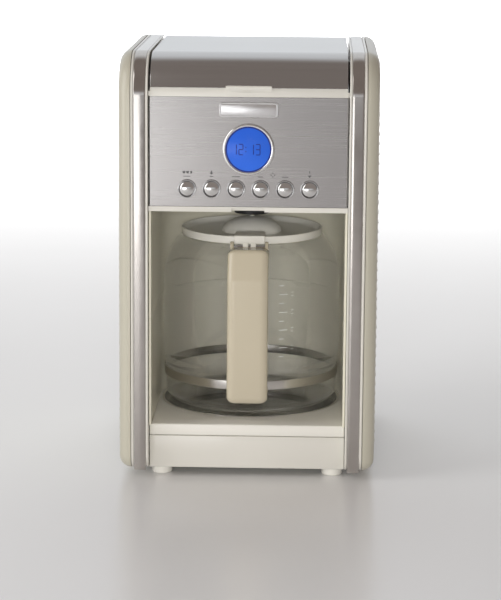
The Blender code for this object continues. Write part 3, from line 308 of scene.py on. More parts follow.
CREAM = (0.54, 0.515, 0.42)
CREAM_LIGHT = (0.74, 0.72, 0.655)
HANDLE_CREAM = (0.56, 0.5, 0.375)
NICHE_CREAM = (0.8, 0.77, 0.64)
SILVER = (0.78, 0.775, 0.77)
ALONG_X = (8, 1500, 1500)
ALONG_Y = (1500, 8, 1500)
LOOKS = {
    "cream": plastic("cream_casing", CREAM),
    "bead": plastic("cream_beads", CREAM_LIGHT, 0.22, 0.5),
    "handle": plastic("cream_handle", HANDLE_CREAM, 0.24, 0.4),
    "lid": plastic("cream_lid", (0.86, 0.84, 0.77), 0.3, 0.2),
    "niche": plastic("cream_niche", NICHE_CREAM, 0.34, 0.15),
    "panel": brushed("brushed_panel", (0.52, 0.505, 0.5), ALONG_X, 0.26, 0.1),
    "cover": brushed("brushed_cover", (0.56, 0.55, 0.545), ALONG_X, 0.2, 0.1),
    "strip": polished("satin_strip", (0.55, 0.52, 0.495), 0.13),
    "band": brushed("brushed_band", (0.7, 0.68, 0.65), ALONG_X, 0.24, 0.2),
    "chrome": polished("chrome", SILVER),
    "plate_rim": polished("plate_rim_metal", (0.86, 0.86, 0.86), 0.2),
    "badge": polished("badge_metal", (0.9, 0.9, 0.91), 0.3),
    "enamel": enamel("black_enamel", (0.006, 0.006, 0.006)),
    "glass": clear_glass("carafe_glass", (0.985, 0.995, 0.99)),
    "blue": display_blue("display_blue"),
    # The digits' dark blue ink; the same material also colours the dark ring painted round the display window as
    # the bezel's shadow.
    "digits": ink("display_digits_and_bezel_shadow", (0.005, 0.02, 0.22)),
    "print": ink("printed_grey", (0.12, 0.12, 0.12)),
    "scale": ink("printed_white", (0.85, 0.85, 0.83)),
    "black": plastic("black_plastic", (0.022, 0.022, 0.023), 0.4, 0.0),
    "tank": clear_glass("tank_plastic", (0.9, 0.94, 0.95), 1.49, 0.01, 0.3),
    "mesh": woven_mesh("filter_mesh", (0.7, 0.62, 0.42)),
    "wire": polished("bright_wire", (0.62, 0.62, 0.63), 0.2),
    "board": laminate("green_laminate", (0.02, 0.12, 0.05)),
    "aluminium": brushed("drawn_aluminium", (0.72, 0.72, 0.73), ALONG_Y, 0.36, 0.2),
    "silicone": rubber("silicone", (0.7, 0.7, 0.67)),
    "rubber": rubber("foot_rubber", (0.6, 0.58, 0.52)),
}
NODE_BODIES = {node: body for body, nodes in frame["record"]["behaviour"]["bodies"].items() for node in nodes}


# ---------------------------------------------------------------- shape helpers


def link(name, data, matrix=Matrix()):
    obj = bpy.data.objects.new(name, data)
    obj.matrix_world = matrix
    bpy.context.scene.collection.objects.link(obj)
    return obj


def dress(obj, look, angle=40):
    obj.data.materials.clear()
    obj.data.materials.append(LOOKS[look])
    if obj.type == "MESH":
        obj.data.shade_smooth()
        obj.data.set_sharp_from_angle(angle=radians(angle))
    return obj


def stand_for(obj, look, node, angle=40):
    """obj is shown in place of a CAD node, and moves with that node's body."""
    dress(obj, look, angle)
    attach(obj, NODE_BODIES[node])
    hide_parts(node)
    return obj


def add_to(obj, look, node, angle=40):
    """obj is a further visible feature of a node, and moves with it."""
    dress(obj, look, angle)
    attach(obj, NODE_BODIES[node])
    return obj


def mesh_from(name, build):
    mesh = bpy.data.meshes.new(name)
    form = bmesh.new()
    build(form)
    bmesh.ops.recalc_face_normals(form, faces=form.faces)
    form.to_mesh(mesh)
    form.free()
    return mesh


def lofted(form, rings, close_rings=True, cap=True, close_loft=False):
    """Faces between successive rings of points, with the first and last ring filled."""
    made = [[form.verts.new(point) for point in ring] for ring in rings]
    pairs = list(zip(made, made[1:])) + ([(made[-1], made[0])] if close_loft else [])
    for inner, outer in pairs:
        count = len(inner)
        for i in range(count if close_rings else count - 1):
            j = (i + 1) % count
            form.faces.new((inner[i], inner[j], outer[j], outer[i]))
    if cap and not close_loft:
        form.faces.new(made[0][::-1])
        form.faces.new(made[-1])


def arc(centre, radius, start, end, steps=12):
    turns = [start + (end - start) * i / steps for i in range(steps + 1)]
    return [(centre[0] + radius * cos(a), centre[1] + radius * sin(a)) for a in turns]


def turned(name, profile, centre, steps=96, turn=Matrix()):
    """A closed profile of (radius, height) points turned about an axis."""

    def build(form):
        rings = []
        for step in range(steps):
            angle = 2 * pi * step / steps
            rings.append([(max(r, 0.0) * cos(angle), max(r, 0.0) * sin(angle), z) for r, z in profile])
        lofted(form, rings, close_loft=True)
        bmesh.ops.remove_doubles(form, verts=form.verts, dist=0.0000005)
        bmesh.ops.dissolve_degenerate(form, edges=form.edges, dist=0.0000005)

    return link(name, mesh_from(name, build), Matrix.Translation(centre) @ turn)


def rounded(points, radius, steps=4):
    """A closed outline with each corner rounded, as far as its sides allow."""
    out = []
    count = len(points)
    for i, corner in enumerate(points):
        here = Vector(corner)
        before, after = Vector(points[i - 1]), Vector(points[(i + 1) % count])
        to_before, to_after = (before - here), (after - here)
        reach = min(radius, to_before.length * 0.45, to_after.length * 0.45)
        start, end = here + to_before.normalized() * reach, here + to_after.normalized() * reach
        for step in range(steps + 1):
            t = step / steps
            out.append(tuple((1 - t) ** 2 * start + 2 * t * (1 - t) * here + t**2 * end))
    return out


def prism(name, outline, least, most, frame_matrix=Matrix(), edge=0.0, segments=3):
    """An outline given a thickness, with its rims rounded by a bevel."""

    def build(form):
        rings = [[(a, b, c) for a, b in outline] for c in (least, most)]
        lofted(form, rings)

    obj = link(name, mesh_from(name, build), frame_matrix)
    if edge:
        bevel(obj, edge, segments)
    return obj


def box(name, least, most, edge=0.0, segments=3):
    least, most = Vector(least), Vector(most)

    def build(form):
        bmesh.ops.create_cube(form, size=1)
        bmesh.ops.scale(form, vec=most - least, verts=form.verts)
        bmesh.ops.translate(form, vec=(least + most) / 2, verts=form.verts)

    obj = link(name, mesh_from(name, build))
    if edge:
        bevel(obj, edge, segments)
    return obj


def bevel(obj, width, segments=3, angle=40):
    edge = obj.modifiers.new("edges", "BEVEL")
    edge.width = width
    edge.segments = segments
    edge.limit_method = "ANGLE"
    edge.angle_limit = radians(angle)
    return obj


def merge(name, *objects):
    """The evaluated meshes of several objects as one object, with each one's modifiers applied."""
    form = bmesh.new()
    graph = bpy.context.evaluated_depsgraph_get()
    bpy.context.view_layer.update()
    for obj in objects:
        mesh = bpy.data.meshes.new_from_object(obj.evaluated_get(graph))
        mesh.transform(obj.matrix_world)
        form.from_mesh(mesh)
        bpy.data.meshes.remove(mesh)
    mesh = bpy.data.meshes.new(name)
    form.to_mesh(mesh)
    form.free()
    for obj in objects:
        bpy.data.objects.remove(obj, do_unlink=True)
    return link(name, mesh)


def refined(node, look, edge=0.5 * MM, segments=2):
    """A CAD node's own shape with its flat faces merged again and its edges broken."""
    form = bmesh.new()
    form.from_mesh(frame["nodes"][node].data)
    bmesh.ops.remove_doubles(form, verts=form.verts, dist=0.000002)
    bmesh.ops.dissolve_limit(form, angle_limit=radians(1), verts=form.verts, edges=form.edges)
    mesh = bpy.data.meshes.new(node + "_fine")
    form.to_mesh(mesh)
    form.free()
    obj = link(node + "_fine", mesh)
    if edge:
        bevel(obj, edge, segments, 50)
    return stand_for(obj, look, node)


def painted(node, look):
    """A CAD node shown as it is, with the scene's finish."""
    obj = frame["nodes"][node]
    obj.data.materials.clear()
    obj.data.materials.append(LOOKS[look])


# ---------------------------------------------------------------- casing


def corner(which, inset, steps=20):
    """Points and outward directions round one corner of the casing's side outline."""
    sides = {
        "rear_top": (REAR_TOP_RADIUS, REAR, TOP, -1, -1, 0),
        "front_top": (FRONT_TOP_RADIUS, FRONT, TOP, 1, -1, pi / 2),
        "front_bottom": (BOTTOM_RADIUS, FRONT, BASE_Z, 1, 1, pi),
        "rear_bottom": (BOTTOM_RADIUS, REAR, BASE_Z, -1, 1, 3 * pi / 2),
    }
    size, y, z, inward_y, inward_z, start = sides[which]
    return arc((y + inward_y * size, z + inward_z * size), size - inset, start, start + pi / 2, steps)


def outline(inset):
    names = ("rear_top", "front_top", "front_bottom", "rear_bottom")
    return [point for name in names for point in corner(name, inset)]


def upper_line(inset, lowest):
    """The open line up the front, over the top and down the back."""
    line = [(FRONT + inset, lowest), *corner("front_top", inset)[::-1], *corner("rear_top", inset)[::-1]]
    return line + [(REAR - inset, lowest)]


def carried(form, section, lines):
    """Lofts a section of (x, inset) points along open lines of (y, z) points, one line for each."""
    count = min(len(line) for line in lines)
    lofted(form, [[(x, *line[i]) for (x, _), line in zip(section, lines)] for i in range(count)])


def hoop(name, section, caps=True):
    """A section of (x, inset) points carried round the casing's side outline, its ends filled flat."""

    def build(form):
        lofted(form, [[(x, y, z) for y, z in outline(inset)] for x, inset in section], cap=caps)

    return link(name, mesh_from(name, build))


def mirrored(section, sign):
    return [(sign * x, inset) for x, inset in section]


def round_bead(start, end, base, steps=8):
    """Half-round bead from start to end in X, standing from the depth base to the surface."""
    middle, half = (start + end) / 2, (end - start) / 2
    turns = [pi * i / steps for i in range(steps + 1)]
    crown = [(middle - half * cos(a), half * (1 - sin(a))) for a in turns]
    return [(start, base), *crown, (end, base)]


def side_frame(side, sign):
    """The cream frame with a rounded bead either side of the steel strip's groove."""
    section = [(FRAME_IN, 14 * MM)]
    section += round_bead(FRAME_IN, STRIP_IN - 0.3 * MM, GROOVE)
    section += round_bead(STRIP_OUT + 0.3 * MM, FRAME_OUT, GROOVE)
    section += [(FRAME_OUT, 5 * MM), (FRAME_IN + WEB, 5 * MM), (FRAME_IN + WEB, 14 * MM)]
    obj = hoop(f"side_frame_{side}_fine", mirrored(section, sign))
    return stand_for(obj, "bead", f"side_frame_{side}")


def trim_strip(side, sign):
    """The steel strip, a little crowned, with turned-in edges."""
    edge, deep = STRIP_SUNK + 0.5 * MM, STRIP_SUNK + STRIP_THICK
    width = STRIP_OUT - STRIP_IN
    shares = (0.05, 0.2, 0.5, 0.8, 0.95)
    crown = [(STRIP_IN + width * t, STRIP_SUNK + STRIP_CROWN * (2 * t - 1) ** 2) for t in shares]
    section = [(STRIP_IN, deep), (STRIP_IN, edge), *crown, (STRIP_OUT, edge), (STRIP_OUT, deep)]

    def build(form):
        carried(form, mirrored(section, sign), [upper_line(inset, STRIP_LOW) for _, inset in section])

    obj = link(f"trim_strip_{side}_fine", mesh_from("trim_strip", build))
    return stand_for(obj, "strip", f"trim_strip_{side}")


def side_panel(side, sign):
    """The ribbed side panel with its quarter-round edge."""
    section = [(PANEL_IN, 3 * MM), (PANEL_IN, 0)]
    section += [(PANEL_IN + PANEL_EDGE * sin(a), PANEL_EDGE * (1 - cos(a))) for a in quarter(14)]
    panel = hoop(f"side_panel_{side}_skin", mirrored(section, sign))
    ribs = [rib(sign, i) for i in range(RIB_COUNT)]
    return stand_for(merge(f"side_panel_{side}_fine", panel, *ribs), "cream", f"side_panel_{side}")


def quarter(steps):
    return [pi / 2 * i / steps for i in range(1, steps + 1)]


def rib(sign, index):
    """One half-round rib with tapered ends, its root sunk into the panel's face."""
    z = BASE_Z + FIRST_RIB + index * RIB_PITCH
    face, half = HALF_WIDTH - RIB_PROUD, RIB_HEIGHT / 2
    root = sign * (face - 0.4 * MM)
    margin = 1.15 * PANEL_EDGE
    taper = [(0.0, margin), (0.75, margin + 2 * MM), (1.0, margin + 4 * MM)]
    stations = [(share, FRONT + way) for share, way in taper]
    stations += [(share, REAR - way) for share, way in taper[::-1]]

    def build(form):
        rings = []
        for share, y in stations:
            ring = [(root, y, z - half), (root, y, z + half)]
            for i in range(7):
                angle = pi * i / 6
                x = face - RIB_SUNK + (RIB_PROUD + RIB_SUNK) * sin(angle) * share
                ring.append((sign * x, y, z + half * cos(angle)))
            rings.append(ring)
        lofted(form, rings)

    return link("rib", mesh_from("rib", build))


def cover_line(inset, lowest, steps=28):
    front = [p for p in corner("front_top", inset, steps)[::-1] if p[1] > lowest]
    centre = (REAR - REAR_TOP_RADIUS, TOP - REAR_TOP_RADIUS)
    rear = arc(centre, REAR_TOP_RADIUS - inset, pi / 2, pi / 2 - COVER_END, steps)
    return [(FRONT + inset, lowest), *front, *rear]


def curved_sheet(name, section, lowest):
    """A section of (x, inset) points carried along the top cover's line."""

    def build(form):
        carried(form, section, [cover_line(inset, lowest) for _, inset in section])

    return link(name, mesh_from(name, build))


def sheet_section(half, outer, inner, edge):
    return [
        (-half, inner),
        (-half, outer + edge),
        (-half + edge * 0.3, outer + edge * 0.3),
        (-half + edge, outer),
        (half - edge, outer),
        (half - edge * 0.3, outer + edge * 0.3),
        (half, outer + edge),
        (half, inner),
    ]


def top_cover():
    half = high("top_cover").x
    section = sheet_section(half, COVER_SUNK, COVER_SUNK + COVER_SHEET, 0.6 * MM)
    obj = curved_sheet("top_cover_fine", section, low("top_cover").z + COVER_RAISED)
    return stand_for(obj, "cover", "top_cover", 30)


def lid_frame():
    """The cream frame under the steel, its scooped finger tab and the hinge barrel."""
    half = high("lid_frame").x
    outer = COVER_SUNK + COVER_SHEET + 0.3 * MM
    lowest = low("lid_frame").z
    sheet = curved_sheet("frame_sheet", sheet_section(half, outer, outer + WEB, 0.4 * MM), lowest)
    hinge = Vector(next(j["pos_m"] for j in frame["joints"] if j["name"] == "cover_hinge"))
    barrel = tube("barrel", 4.6 * MM, 2.3 * MM, half, hinge, 0.5 * MM, 4)
    return stand_for(merge("lid_frame_fine", sheet, barrel, finger_tab(lowest)), "bead", "lid_frame")


def tube(name, outside, bore, half, centre, edge, steps):
    """A short tube or rod along X with the rims of its ends rounded."""
    section = rounded([(outside, half), (outside, -half), (bore, -half), (bore, half)], edge, steps)
    return turned(name, section, centre, 32, Matrix.Rotation(pi / 2, 4, "Y"))


def finger_tab(lowest):
    """The tab in the middle of the cover's front edge, scooped underneath for a finger."""
    half, steps = 19.6 * MM, 12
    lowest += 3.6 * MM
    top = lowest + 6 * MM
    face, back = FRONT + 0.1 * MM, FRONT + 5 * MM

    def build(form):
        rings = []
        for i in range(2 * steps + 1):
            t = i / steps - 1
            scoop = 1.8 * MM * (1 - t * t)
            bottom = lowest + 1.8 * MM * abs(t) ** 2.5
            end = 1 if abs(t) < 0.98 else 0.9
            middle = (bottom + top) / 2
            ring = [(back, bottom), (back, top), (face + 0.8 * MM, top), (face, top - 0.8 * MM)]
            ring += [(face, bottom + 2.4 * MM), (face + 0.3 * MM + scoop, bottom)]
            rings.append([(t * half, y, middle + (z - middle) * end) for y, z in ring])
        lofted(form, rings)

    return link("finger_tab", mesh_from("finger_tab", build))


def casing():
    for side, sign in (("left", -1), ("right", 1)):
        side_frame(side, sign)
        trim_strip(side, sign)
        side_panel(side, sign)
        refined(f"hinge_pin_{side}", "wire", 0)
    top_cover()
    lid_frame()
    refined("rear_cover", "cream", 0.4 * MM)
    refined("cord_gland", "black", 0)
    refined("shower_plate", "black", 0.2 * MM)


# ---------------------------------------------------------------- base and niche


def warming_plate():
    """The glossy black plate, dished inside its raised edge."""
    depth = 1.6 * MM
    profile = [(0, PLATE_TOP - depth), (PLATE_RADIUS - 0.3 * MM, PLATE_TOP - depth)]
    profile += arc((PLATE_RADIUS - 0.6 * MM, PLATE_TOP - 0.6 * MM), 0.6 * MM, 0, pi / 2, 5)
    profile += [(PLATE_RADIUS - 2.5 * MM, PLATE_TOP), (PLATE_RADIUS - 4.2 * MM, PLATE_TOP - 0.5 * MM)]
    profile += [(0, PLATE_TOP - 0.5 * MM)]
    stand_for(turned("warming_plate_fine", profile, (0, CARAFE_Y, 0), 128), "enamel", "warming_plate")


def plate_rim():
    """The bright ring round the plate, seated on the deck with a collar below."""
    inner, collar = PLATE_RADIUS + 0.3 * MM, RIM_RADIUS - 1 * MM
    seat, bottom = DECK_Z + 0.3 * MM, low("plate_rim").z
    profile = [(RIM_RADIUS, seat), (RIM_RADIUS - 0.15 * MM, RIM_TOP - 0.15 * MM)]
    profile += [(RIM_RADIUS - 0.5 * MM, RIM_TOP), (inner + 0.4 * MM, RIM_TOP), (inner, RIM_TOP - 0.3 * MM)]
    profile += [(inner, bottom), (collar, bottom), (collar, seat)]
    stand_for(turned("plate_rim_fine", profile, (0, CARAFE_Y, 0), 128), "plate_rim", "plate_rim")


def foot(node):
    least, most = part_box(node)
    centre, radius = (least + most) / 2, (most.x - least.x) / 2
    neck = radius - 2 * MM
    shelf = BASE_Z - 0.3 * MM
    profile = [(0, most.z), (neck, most.z), (neck, shelf), (radius, shelf)]
    profile += arc((radius - 1.6 * MM, 1.6 * MM), 1.6 * MM, 0, -pi / 2, 6) + [(0, 0)]
    stand_for(turned(node + "_fine", profile, (centre.x, centre.y, 0), 48), "lid", node)


def niche_wall(node):
    """One ring of the niche's lining, smooth round the back."""
    least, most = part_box(node)
    wall = 2 * MM
    outer = arc((0, CARAFE_Y), most.x, 0, pi, 72)
    inner = arc((0, CARAFE_Y), most.x - wall, pi, 0, 72)
    points = [(most.x, least.y), *outer, (-most.x, least.y)]
    points += [(-most.x + wall, least.y), *inner, (most.x - wall, least.y)]
    obj = prism(node + "_fine", points, least.z, most.z, edge=0.35 * MM, segments=2)
    stand_for(obj, "niche", node, 50)


def base_and_niche():
    refined("base_shell", "bead", 0.5 * MM)
    refined("base_deck", "lid", 0.3 * MM)
    refined("bottom_cover", "cream", 0.3 * MM)
    warming_plate()
    plate_rim()
    for end in ("front", "rear"):
        for side in ("left", "right"):
            foot(f"foot_{end}_{side}")
    niche_wall("niche_wall_lower")
    niche_wall("niche_wall_upper")
    refined("water_tank", "tank", 0.8 * MM)
    for node in ("check_valve", "cold_water_hose", "hot_water_riser"):
        painted(node, "silicone")
    for node in ("heating_element", "thermostat"):
        painted(node, "aluminium")


# ---------------------------------------------------------------- head and controls


def lcd():
    """The display: a rounded bezel, the blue window and its dark digits, and a dark ring round the window's edge
    that is painted shadow of the bezel.
    """
    proud, sleeve = 1.7 * MM, LCD_OPEN + 1.3 * MM
    half = (LCD_RADIUS - LCD_OPEN) / 2
    crown = arc((LCD_RADIUS - half, proud - half), half, 0, pi, 10)
    profile = [(LCD_RADIUS, 0.3 * MM), *crown, (LCD_OPEN + 0.3 * MM, -proud)]
    profile += [(sleeve, -proud), (sleeve, 0.3 * MM)]
    place = (0, PANEL_Y, LCD.z)
    stand_for(turned("lcd_bezel_fine", profile, place, 128, TO_FRONT), "plate_rim", "lcd_bezel")
    face, back = PANEL_Y - low("lcd_lens").y, -0.8 * MM
    window = [(0, back), (LCD_OPEN, back), (LCD_OPEN, face - 0.3 * MM)]
    window += [(LCD_OPEN - 0.6 * MM, face), (0, face)]
    stand_for(turned("lcd_lens_fine", window, place, 96, TO_FRONT), "blue", "lcd_lens")
    # A thin dark ring in the digits' ink, just proud of the window's rim: painted shadow of the bezel on the
    # window.
    edge, behind = LCD_OPEN - 0.9 * MM, face - 0.2 * MM
    shade = [(LCD_OPEN, face), (edge, face + 0.03 * MM), (edge, behind), (LCD_OPEN, behind)]
    shadow_ring = turned("lcd_shadow_ring", rounded(shade, 0.1 * MM, 2), place, 96, TO_FRONT)
    add_to(shadow_ring, "digits", "lcd_lens")
    digits(low("lcd_lens").y)


SEGMENTS = {"1": "bc", "2": "abged", "3": "abgcd"}
SEGMENT_SIDES = {"b": 1, "c": 1, "e": -1, "f": -1}
SEGMENT_LEVELS = {"a": 2, "b": 1, "f": 1, "g": 0, "c": -1, "e": -1, "d": -2}


def digits(face):
    """Seven-segment figures, four of them with a colon, a little proud of the window."""
    wide, tall, thick = 4.2 * MM, 9 * MM, 0.75 * MM
    pieces = []
    for figure, centre in zip("1213", (-12 * MM, -6.4 * MM, 2.6 * MM, 8.2 * MM)):
        for segment in SEGMENTS[figure]:
            pieces.append(segment_bar(segment, centre, wide, tall, thick, face))
    for up in (-1, 1):
        middle = LCD.z + up * 1.8 * MM
        low_corner = (-2.6 * MM, face - DIGIT_SUNK, middle - 0.4 * MM)
        pieces.append(box("colon", low_corner, (-1.8 * MM, face + DIGIT_PROUD, middle + 0.4 * MM)))
    add_to(merge("lcd_digits", *pieces), "digits", "lcd_lens")


def segment_bar(segment, centre, wide, tall, thick, face):
    """One bar of a figure: a, g and d lie flat, and the others stand at its sides."""
    half, rise = wide / 2 - thick / 2, tall / 4
    side = SEGMENT_SIDES.get(segment, 0)
    x, z = centre + side * half, LCD.z + SEGMENT_LEVELS[segment] * rise
    reach_x, reach_z = (thick / 2, rise - thick / 3) if side else (half, thick / 2)
    least = (x - reach_x, face - DIGIT_SUNK, z - reach_z)
    return box("segment", least, (x + reach_x, face + DIGIT_PROUD, z + reach_z))


def button(index):
    """A bright domed key in its rounded ring, with a dark gap between."""
    node = f"button_{index + 1}"
    key_low, key_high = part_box(node)
    centre = (key_low + key_high) / 2
    flange = (key_high.x - key_low.x) / 2
    radius = flange - 1.6 * MM
    rise = PANEL_Y - key_low.y
    depth = key_high.y - PANEL_Y
    dome = [(radius * cos(a), rise * sin(a) ** 1.1) for a in [pi / 2 * i / 14 for i in range(15)]]
    shelf = -(PANEL_HIGH.y - PANEL_Y) - 2.6 * MM
    profile = [(radius, shelf), *dome, (0, -depth), (1.8 * MM, -depth), (1.8 * MM, shelf - 1 * MM)]
    profile += [(flange, shelf - 1 * MM), (flange, shelf)]
    place = (centre.x, PANEL_Y, centre.z)
    stand_for(turned(node + "_fine", profile, place, 64, TO_FRONT), "chrome", node)
    ring_node = f"button_ring_{index + 1}"
    outer = (high(ring_node).x - low(ring_node).x) / 2
    inner = radius + 0.3 * MM
    lip = PANEL_Y - low(ring_node).y
    half = (outer - inner) / 2
    crown = arc((outer - half, lip - half), half, 0, pi, 8)
    deep = -(high(ring_node).y - PANEL_Y)
    ring = [(outer, 0.3 * MM), *crown, (inner, deep), (inner + 0.5 * MM, deep), (inner + 0.5 * MM, 0.3 * MM)]
    stand_for(turned(ring_node + "_fine", ring, place, 64, TO_FRONT), "wire", ring_node)


def icon(name, x, z, *outlines):
    """A small printed sign made of flat outlines in millimetres about (x, z)."""
    on_panel = Matrix.Translation((0, PANEL_Y, 0)) @ TO_FRONT
    shapes = []
    for points in outlines:
        flat = [(x + a * MM, z + b * MM) for a, b in points]
        shapes.append(prism(name, flat, -INK_DEPTH, INK_DEPTH, on_panel))
    return merge(name, *shapes)


def cup(centre_x, width):
    left, right = centre_x - width / 2, centre_x + width / 2
    return [(left, 1.2), (right, 1.2), (right - 0.5, -0.9), (left + 0.5, -0.9)]


def bar(x, z, wide, tall):
    return [(x + a * wide / 2, z + b * tall / 2) for a, b in ((-1, -1), (1, -1), (1, 1), (-1, 1))]


def drop():
    round_part = arc((0, -0.5), 1.1, pi * 0.9, pi * 2.1, 10)
    return [*round_part, (0.1, 2.2)]


def arrow(x, z, turn, size=1.1):
    points = [(0, size), (-size * 0.7, 0), (size * 0.7, 0)]
    return [(x + a * cos(turn) - b * sin(turn), z + a * sin(turn) + b * cos(turn)) for a, b in points]


def printed_signs():
    """The signs over the keys, and a plain dash under each of the first five."""
    ring_top = high("button_ring_1").z
    xs = [(low(f"button_{i + 1}").x + high(f"button_{i + 1}").x) / 2 for i in range(BUTTONS)]
    sign_z, label_z = ring_top + 6 * MM, ring_top + 1.7 * MM
    cups = [cup(-2.6, 2.6), cup(0.6, 2.8), cup(3.6, 2.0)]
    cross = [arrow(0, 1.2, 0), arrow(1.2, 0, -pi / 2), arrow(0, -1.2, pi), arrow(-1.2, 0, pi / 2)]
    start = [arrow(0, 0.6, pi, 2.2), bar(0, 3.4, 0.5, 2)]
    signs = (
        ("cups", xs[0], sign_z, cups),
        ("drop", xs[1], sign_z, [drop()]),
        ("arrows", (xs[3] + xs[4]) / 2, sign_z - 1.5 * MM, cross),
        ("start", xs[5], sign_z - 2.2 * MM, start),
    )
    for name, x, z, outlines in signs:
        add_to(icon(f"sign_{name}", x, z, *outlines), "print", "control_panel")
    for index, width in enumerate((6, 3, 7, 4, 5.5)):
        dash = icon(f"label_{index + 1}", xs[index], label_z, bar(0, 1, width, 0.6))
        add_to(dash, "print", "control_panel")


def badge():
    """The blank name plate: a rounded border with a satin field sunk in it."""
    wide, tall = (BADGE_HIGH.x - BADGE_LOW.x) / 2, (BADGE_HIGH.z - BADGE_LOW.z) / 2
    middle = (BADGE_HIGH.z + BADGE_LOW.z) / 2
    depth = PANEL_Y - BADGE_LOW.y
    matrix = Matrix.Translation((0, PANEL_Y, middle)) @ TO_FRONT
    rim = 1.3 * MM

    def rectangle(inset):
        a, b = wide - inset, tall - inset
        return rounded([(a, b), (-a, b), (-a, -b), (a, -b)], 3 * MM - inset, 8)

    def build(form):
        levels = [(0.0, 0.3 * MM), (0.0, depth - 0.4 * MM), (0.35 * MM, depth)]
        levels += [(rim - 0.4 * MM, depth), (rim, depth - 0.5 * MM), (rim + 0.5 * MM, depth - 0.2 * MM)]
        lofted(form, [[(a, b, height) for a, b in rectangle(inset)] for inset, height in levels])

    stand_for(link("badge_fine", mesh_from("badge", build), matrix), "badge", "badge")


def head():
    refined("head_housing", "bead", 0.3 * MM)
    refined("control_panel", "panel", 0.25 * MM)
    painted("circuit_board", "board")
    badge()
    lcd()
    for index in range(BUTTONS):
        button(index)
    printed_signs()


# ---------------------------------------------------------------- brewing parts


def brewing_parts():
    for node, look in (("brew_basket", "black"), ("permanent_filter", "mesh"), ("drip_stop_valve", "black")):
        turned_like(node, look)
    painted("drip_stop_spring", "wire")


def turned_like(node, look, steps=96):
    """A turned CAD node made again round, from the section that its own mesh has at +X."""
    mesh = frame["nodes"][node].data
    form = bmesh.new()
    form.from_mesh(mesh)
    bmesh.ops.remove_doubles(form, verts=form.verts, dist=0.000002)
    geometry = form.verts[:] + form.edges[:] + form.faces[:]
    middle = Vector((0, CARAFE_Y, 0))
    cut = bmesh.ops.bisect_plane(form, geom=geometry, plane_co=middle, plane_no=(0, 1, 0))["geom_cut"]
    edges = [e for e in cut if isinstance(e, bmesh.types.BMEdge) and min(v.co.x for v in e.verts) > -0.00001]
    profile = chained([tuple((round(v.co.x, 7), round(v.co.z, 7)) for v in e.verts) for e in edges])
    form.free()
    stand_for(turned(node + "_fine", profile, middle, steps), look, node)


def chained(edges):
    """Edges, each two points, put end to end as one line."""

    def away(edge, point):
        return [p for p in edge if (Vector(p) - Vector(point)).length > 0.005 * MM]

    line = list(edges.pop(0))
    moved = True
    while edges and moved:
        moved = False
        for edge in edges:
            after, before = away(edge, line[-1]), away(edge, line[0])
            if len(after) == 1:
                line += after
            elif len(before) == 1:
                line = before + line
            else:
                continue
            edges.remove(edge)
            moved = True
            break
    return line if away(line[:1], line[-1]) else line[:-1]


# ---------------------------------------------------------------- carafe


def glass_line():
    """The carafe's outer line from the mouth down to the middle of its bottom."""
    centre = GLASS_RADIUS - SHOULDER_WIDTH
    mouth = acos((MOUTH_RADIUS - centre) / SHOULDER_WIDTH)
    line = [(centre + SHOULDER_WIDTH * cos(a), SHOULDER_Z + SHOULDER_HEIGHT * sin(a))
            for a in [mouth * (1 - i / 24) for i in range(25)]]
    waist = GLASS_RADIUS - BAND_TAPER
    top, bottom = BAND_HIGH + 14 * MM, BAND_HIGH + 1 * MM
    for i in range(1, 9):
        t = i / 8
        ease = t * t * (3 - 2 * t)
        line.append((GLASS_RADIUS - BAND_TAPER * ease, top + (bottom - top) * t))
    line.append((waist, BAND_LOW - 1 * MM))
    line += arc((waist - 11 * MM, GLASS_BOTTOM + 11 * MM), 11 * MM, 0, -pi / 2, 14)
    for radius, rise in ((waist - 18 * MM, 0.2 * MM), (waist - 40 * MM, 1 * MM), (0, 1.4 * MM)):
        line.append((radius, GLASS_BOTTOM + rise))
    return line


def moved_inward(line, distance):
    """The line moved towards the axis side by a distance, for the inner face of a wall."""
    out = []
    for i, point in enumerate(line):
        before, after = Vector(line[max(i - 1, 0)]), Vector(line[min(i + 1, len(line) - 1)])
        along = (after - before).normalized()
        moved = Vector(point) + Vector((along.y, -along.x)) * distance
        out.append((max(moved.x, 0.0), moved.y))
    out[-1] = (0.0, out[-1][1])
    return out


def carafe_glass():
    outer = glass_line()
    inner = moved_inward(outer, GLASS_WALL)
    lip = arc(((outer[0][0] + inner[0][0]) / 2, GLASS_TOP - 1 * MM), 1 * MM, pi, 0, 6)
    profile = inner[1:][::-1] + lip + outer[1:]
    stand_for(turned("carafe_glass_fine", profile, (0, CARAFE_Y, 0), 160), "glass", "carafe_glass", 60)


def glass_radius_at(height):
    if height < SHOULDER_Z:
        return GLASS_RADIUS
    rise = (height - SHOULDER_Z) / SHOULDER_HEIGHT
    return GLASS_RADIUS - SHOULDER_WIDTH + SHOULDER_WIDTH * sqrt(1 - rise**2)


def scale_marks():
    """The cup scale printed on the glass to the right of the handle."""
    marks = []
    for i in range(9):
        z = BAND_HIGH + 22 * MM + i * 8 * MM
        marks.append(mark(z, radians(-70.5), radians(5.5 if i % 2 else 3), 0.6 * MM))
        if i % 2:
            marks.append(mark(z + 1.6 * MM, radians(-62.5), radians(1.6), 0.5 * MM))
            marks.append(mark(z - 1.6 * MM, radians(-62.5), radians(1.6), 0.5 * MM))
    add_to(merge("carafe_scale", *marks), "scale", "carafe_glass")


def mark(z, start, sweep, thick):
    """A short line that follows the glass."""
    outer = GLASS_RADIUS + 0.06 * MM

    def build(form):
        rings = []
        for i in range(7):
            angle = start + sweep * i / 6
            ring = []
            for r, up in ((outer, -1), (outer, 1), (outer - 0.05 * MM, 1), (outer - 0.05 * MM, -1)):
                ring.append((r * cos(angle), CARAFE_Y + r * sin(angle), z + up * thick / 2))
            rings.append(ring)
        lofted(form, rings)

    return link("mark", mesh_from("mark", build))


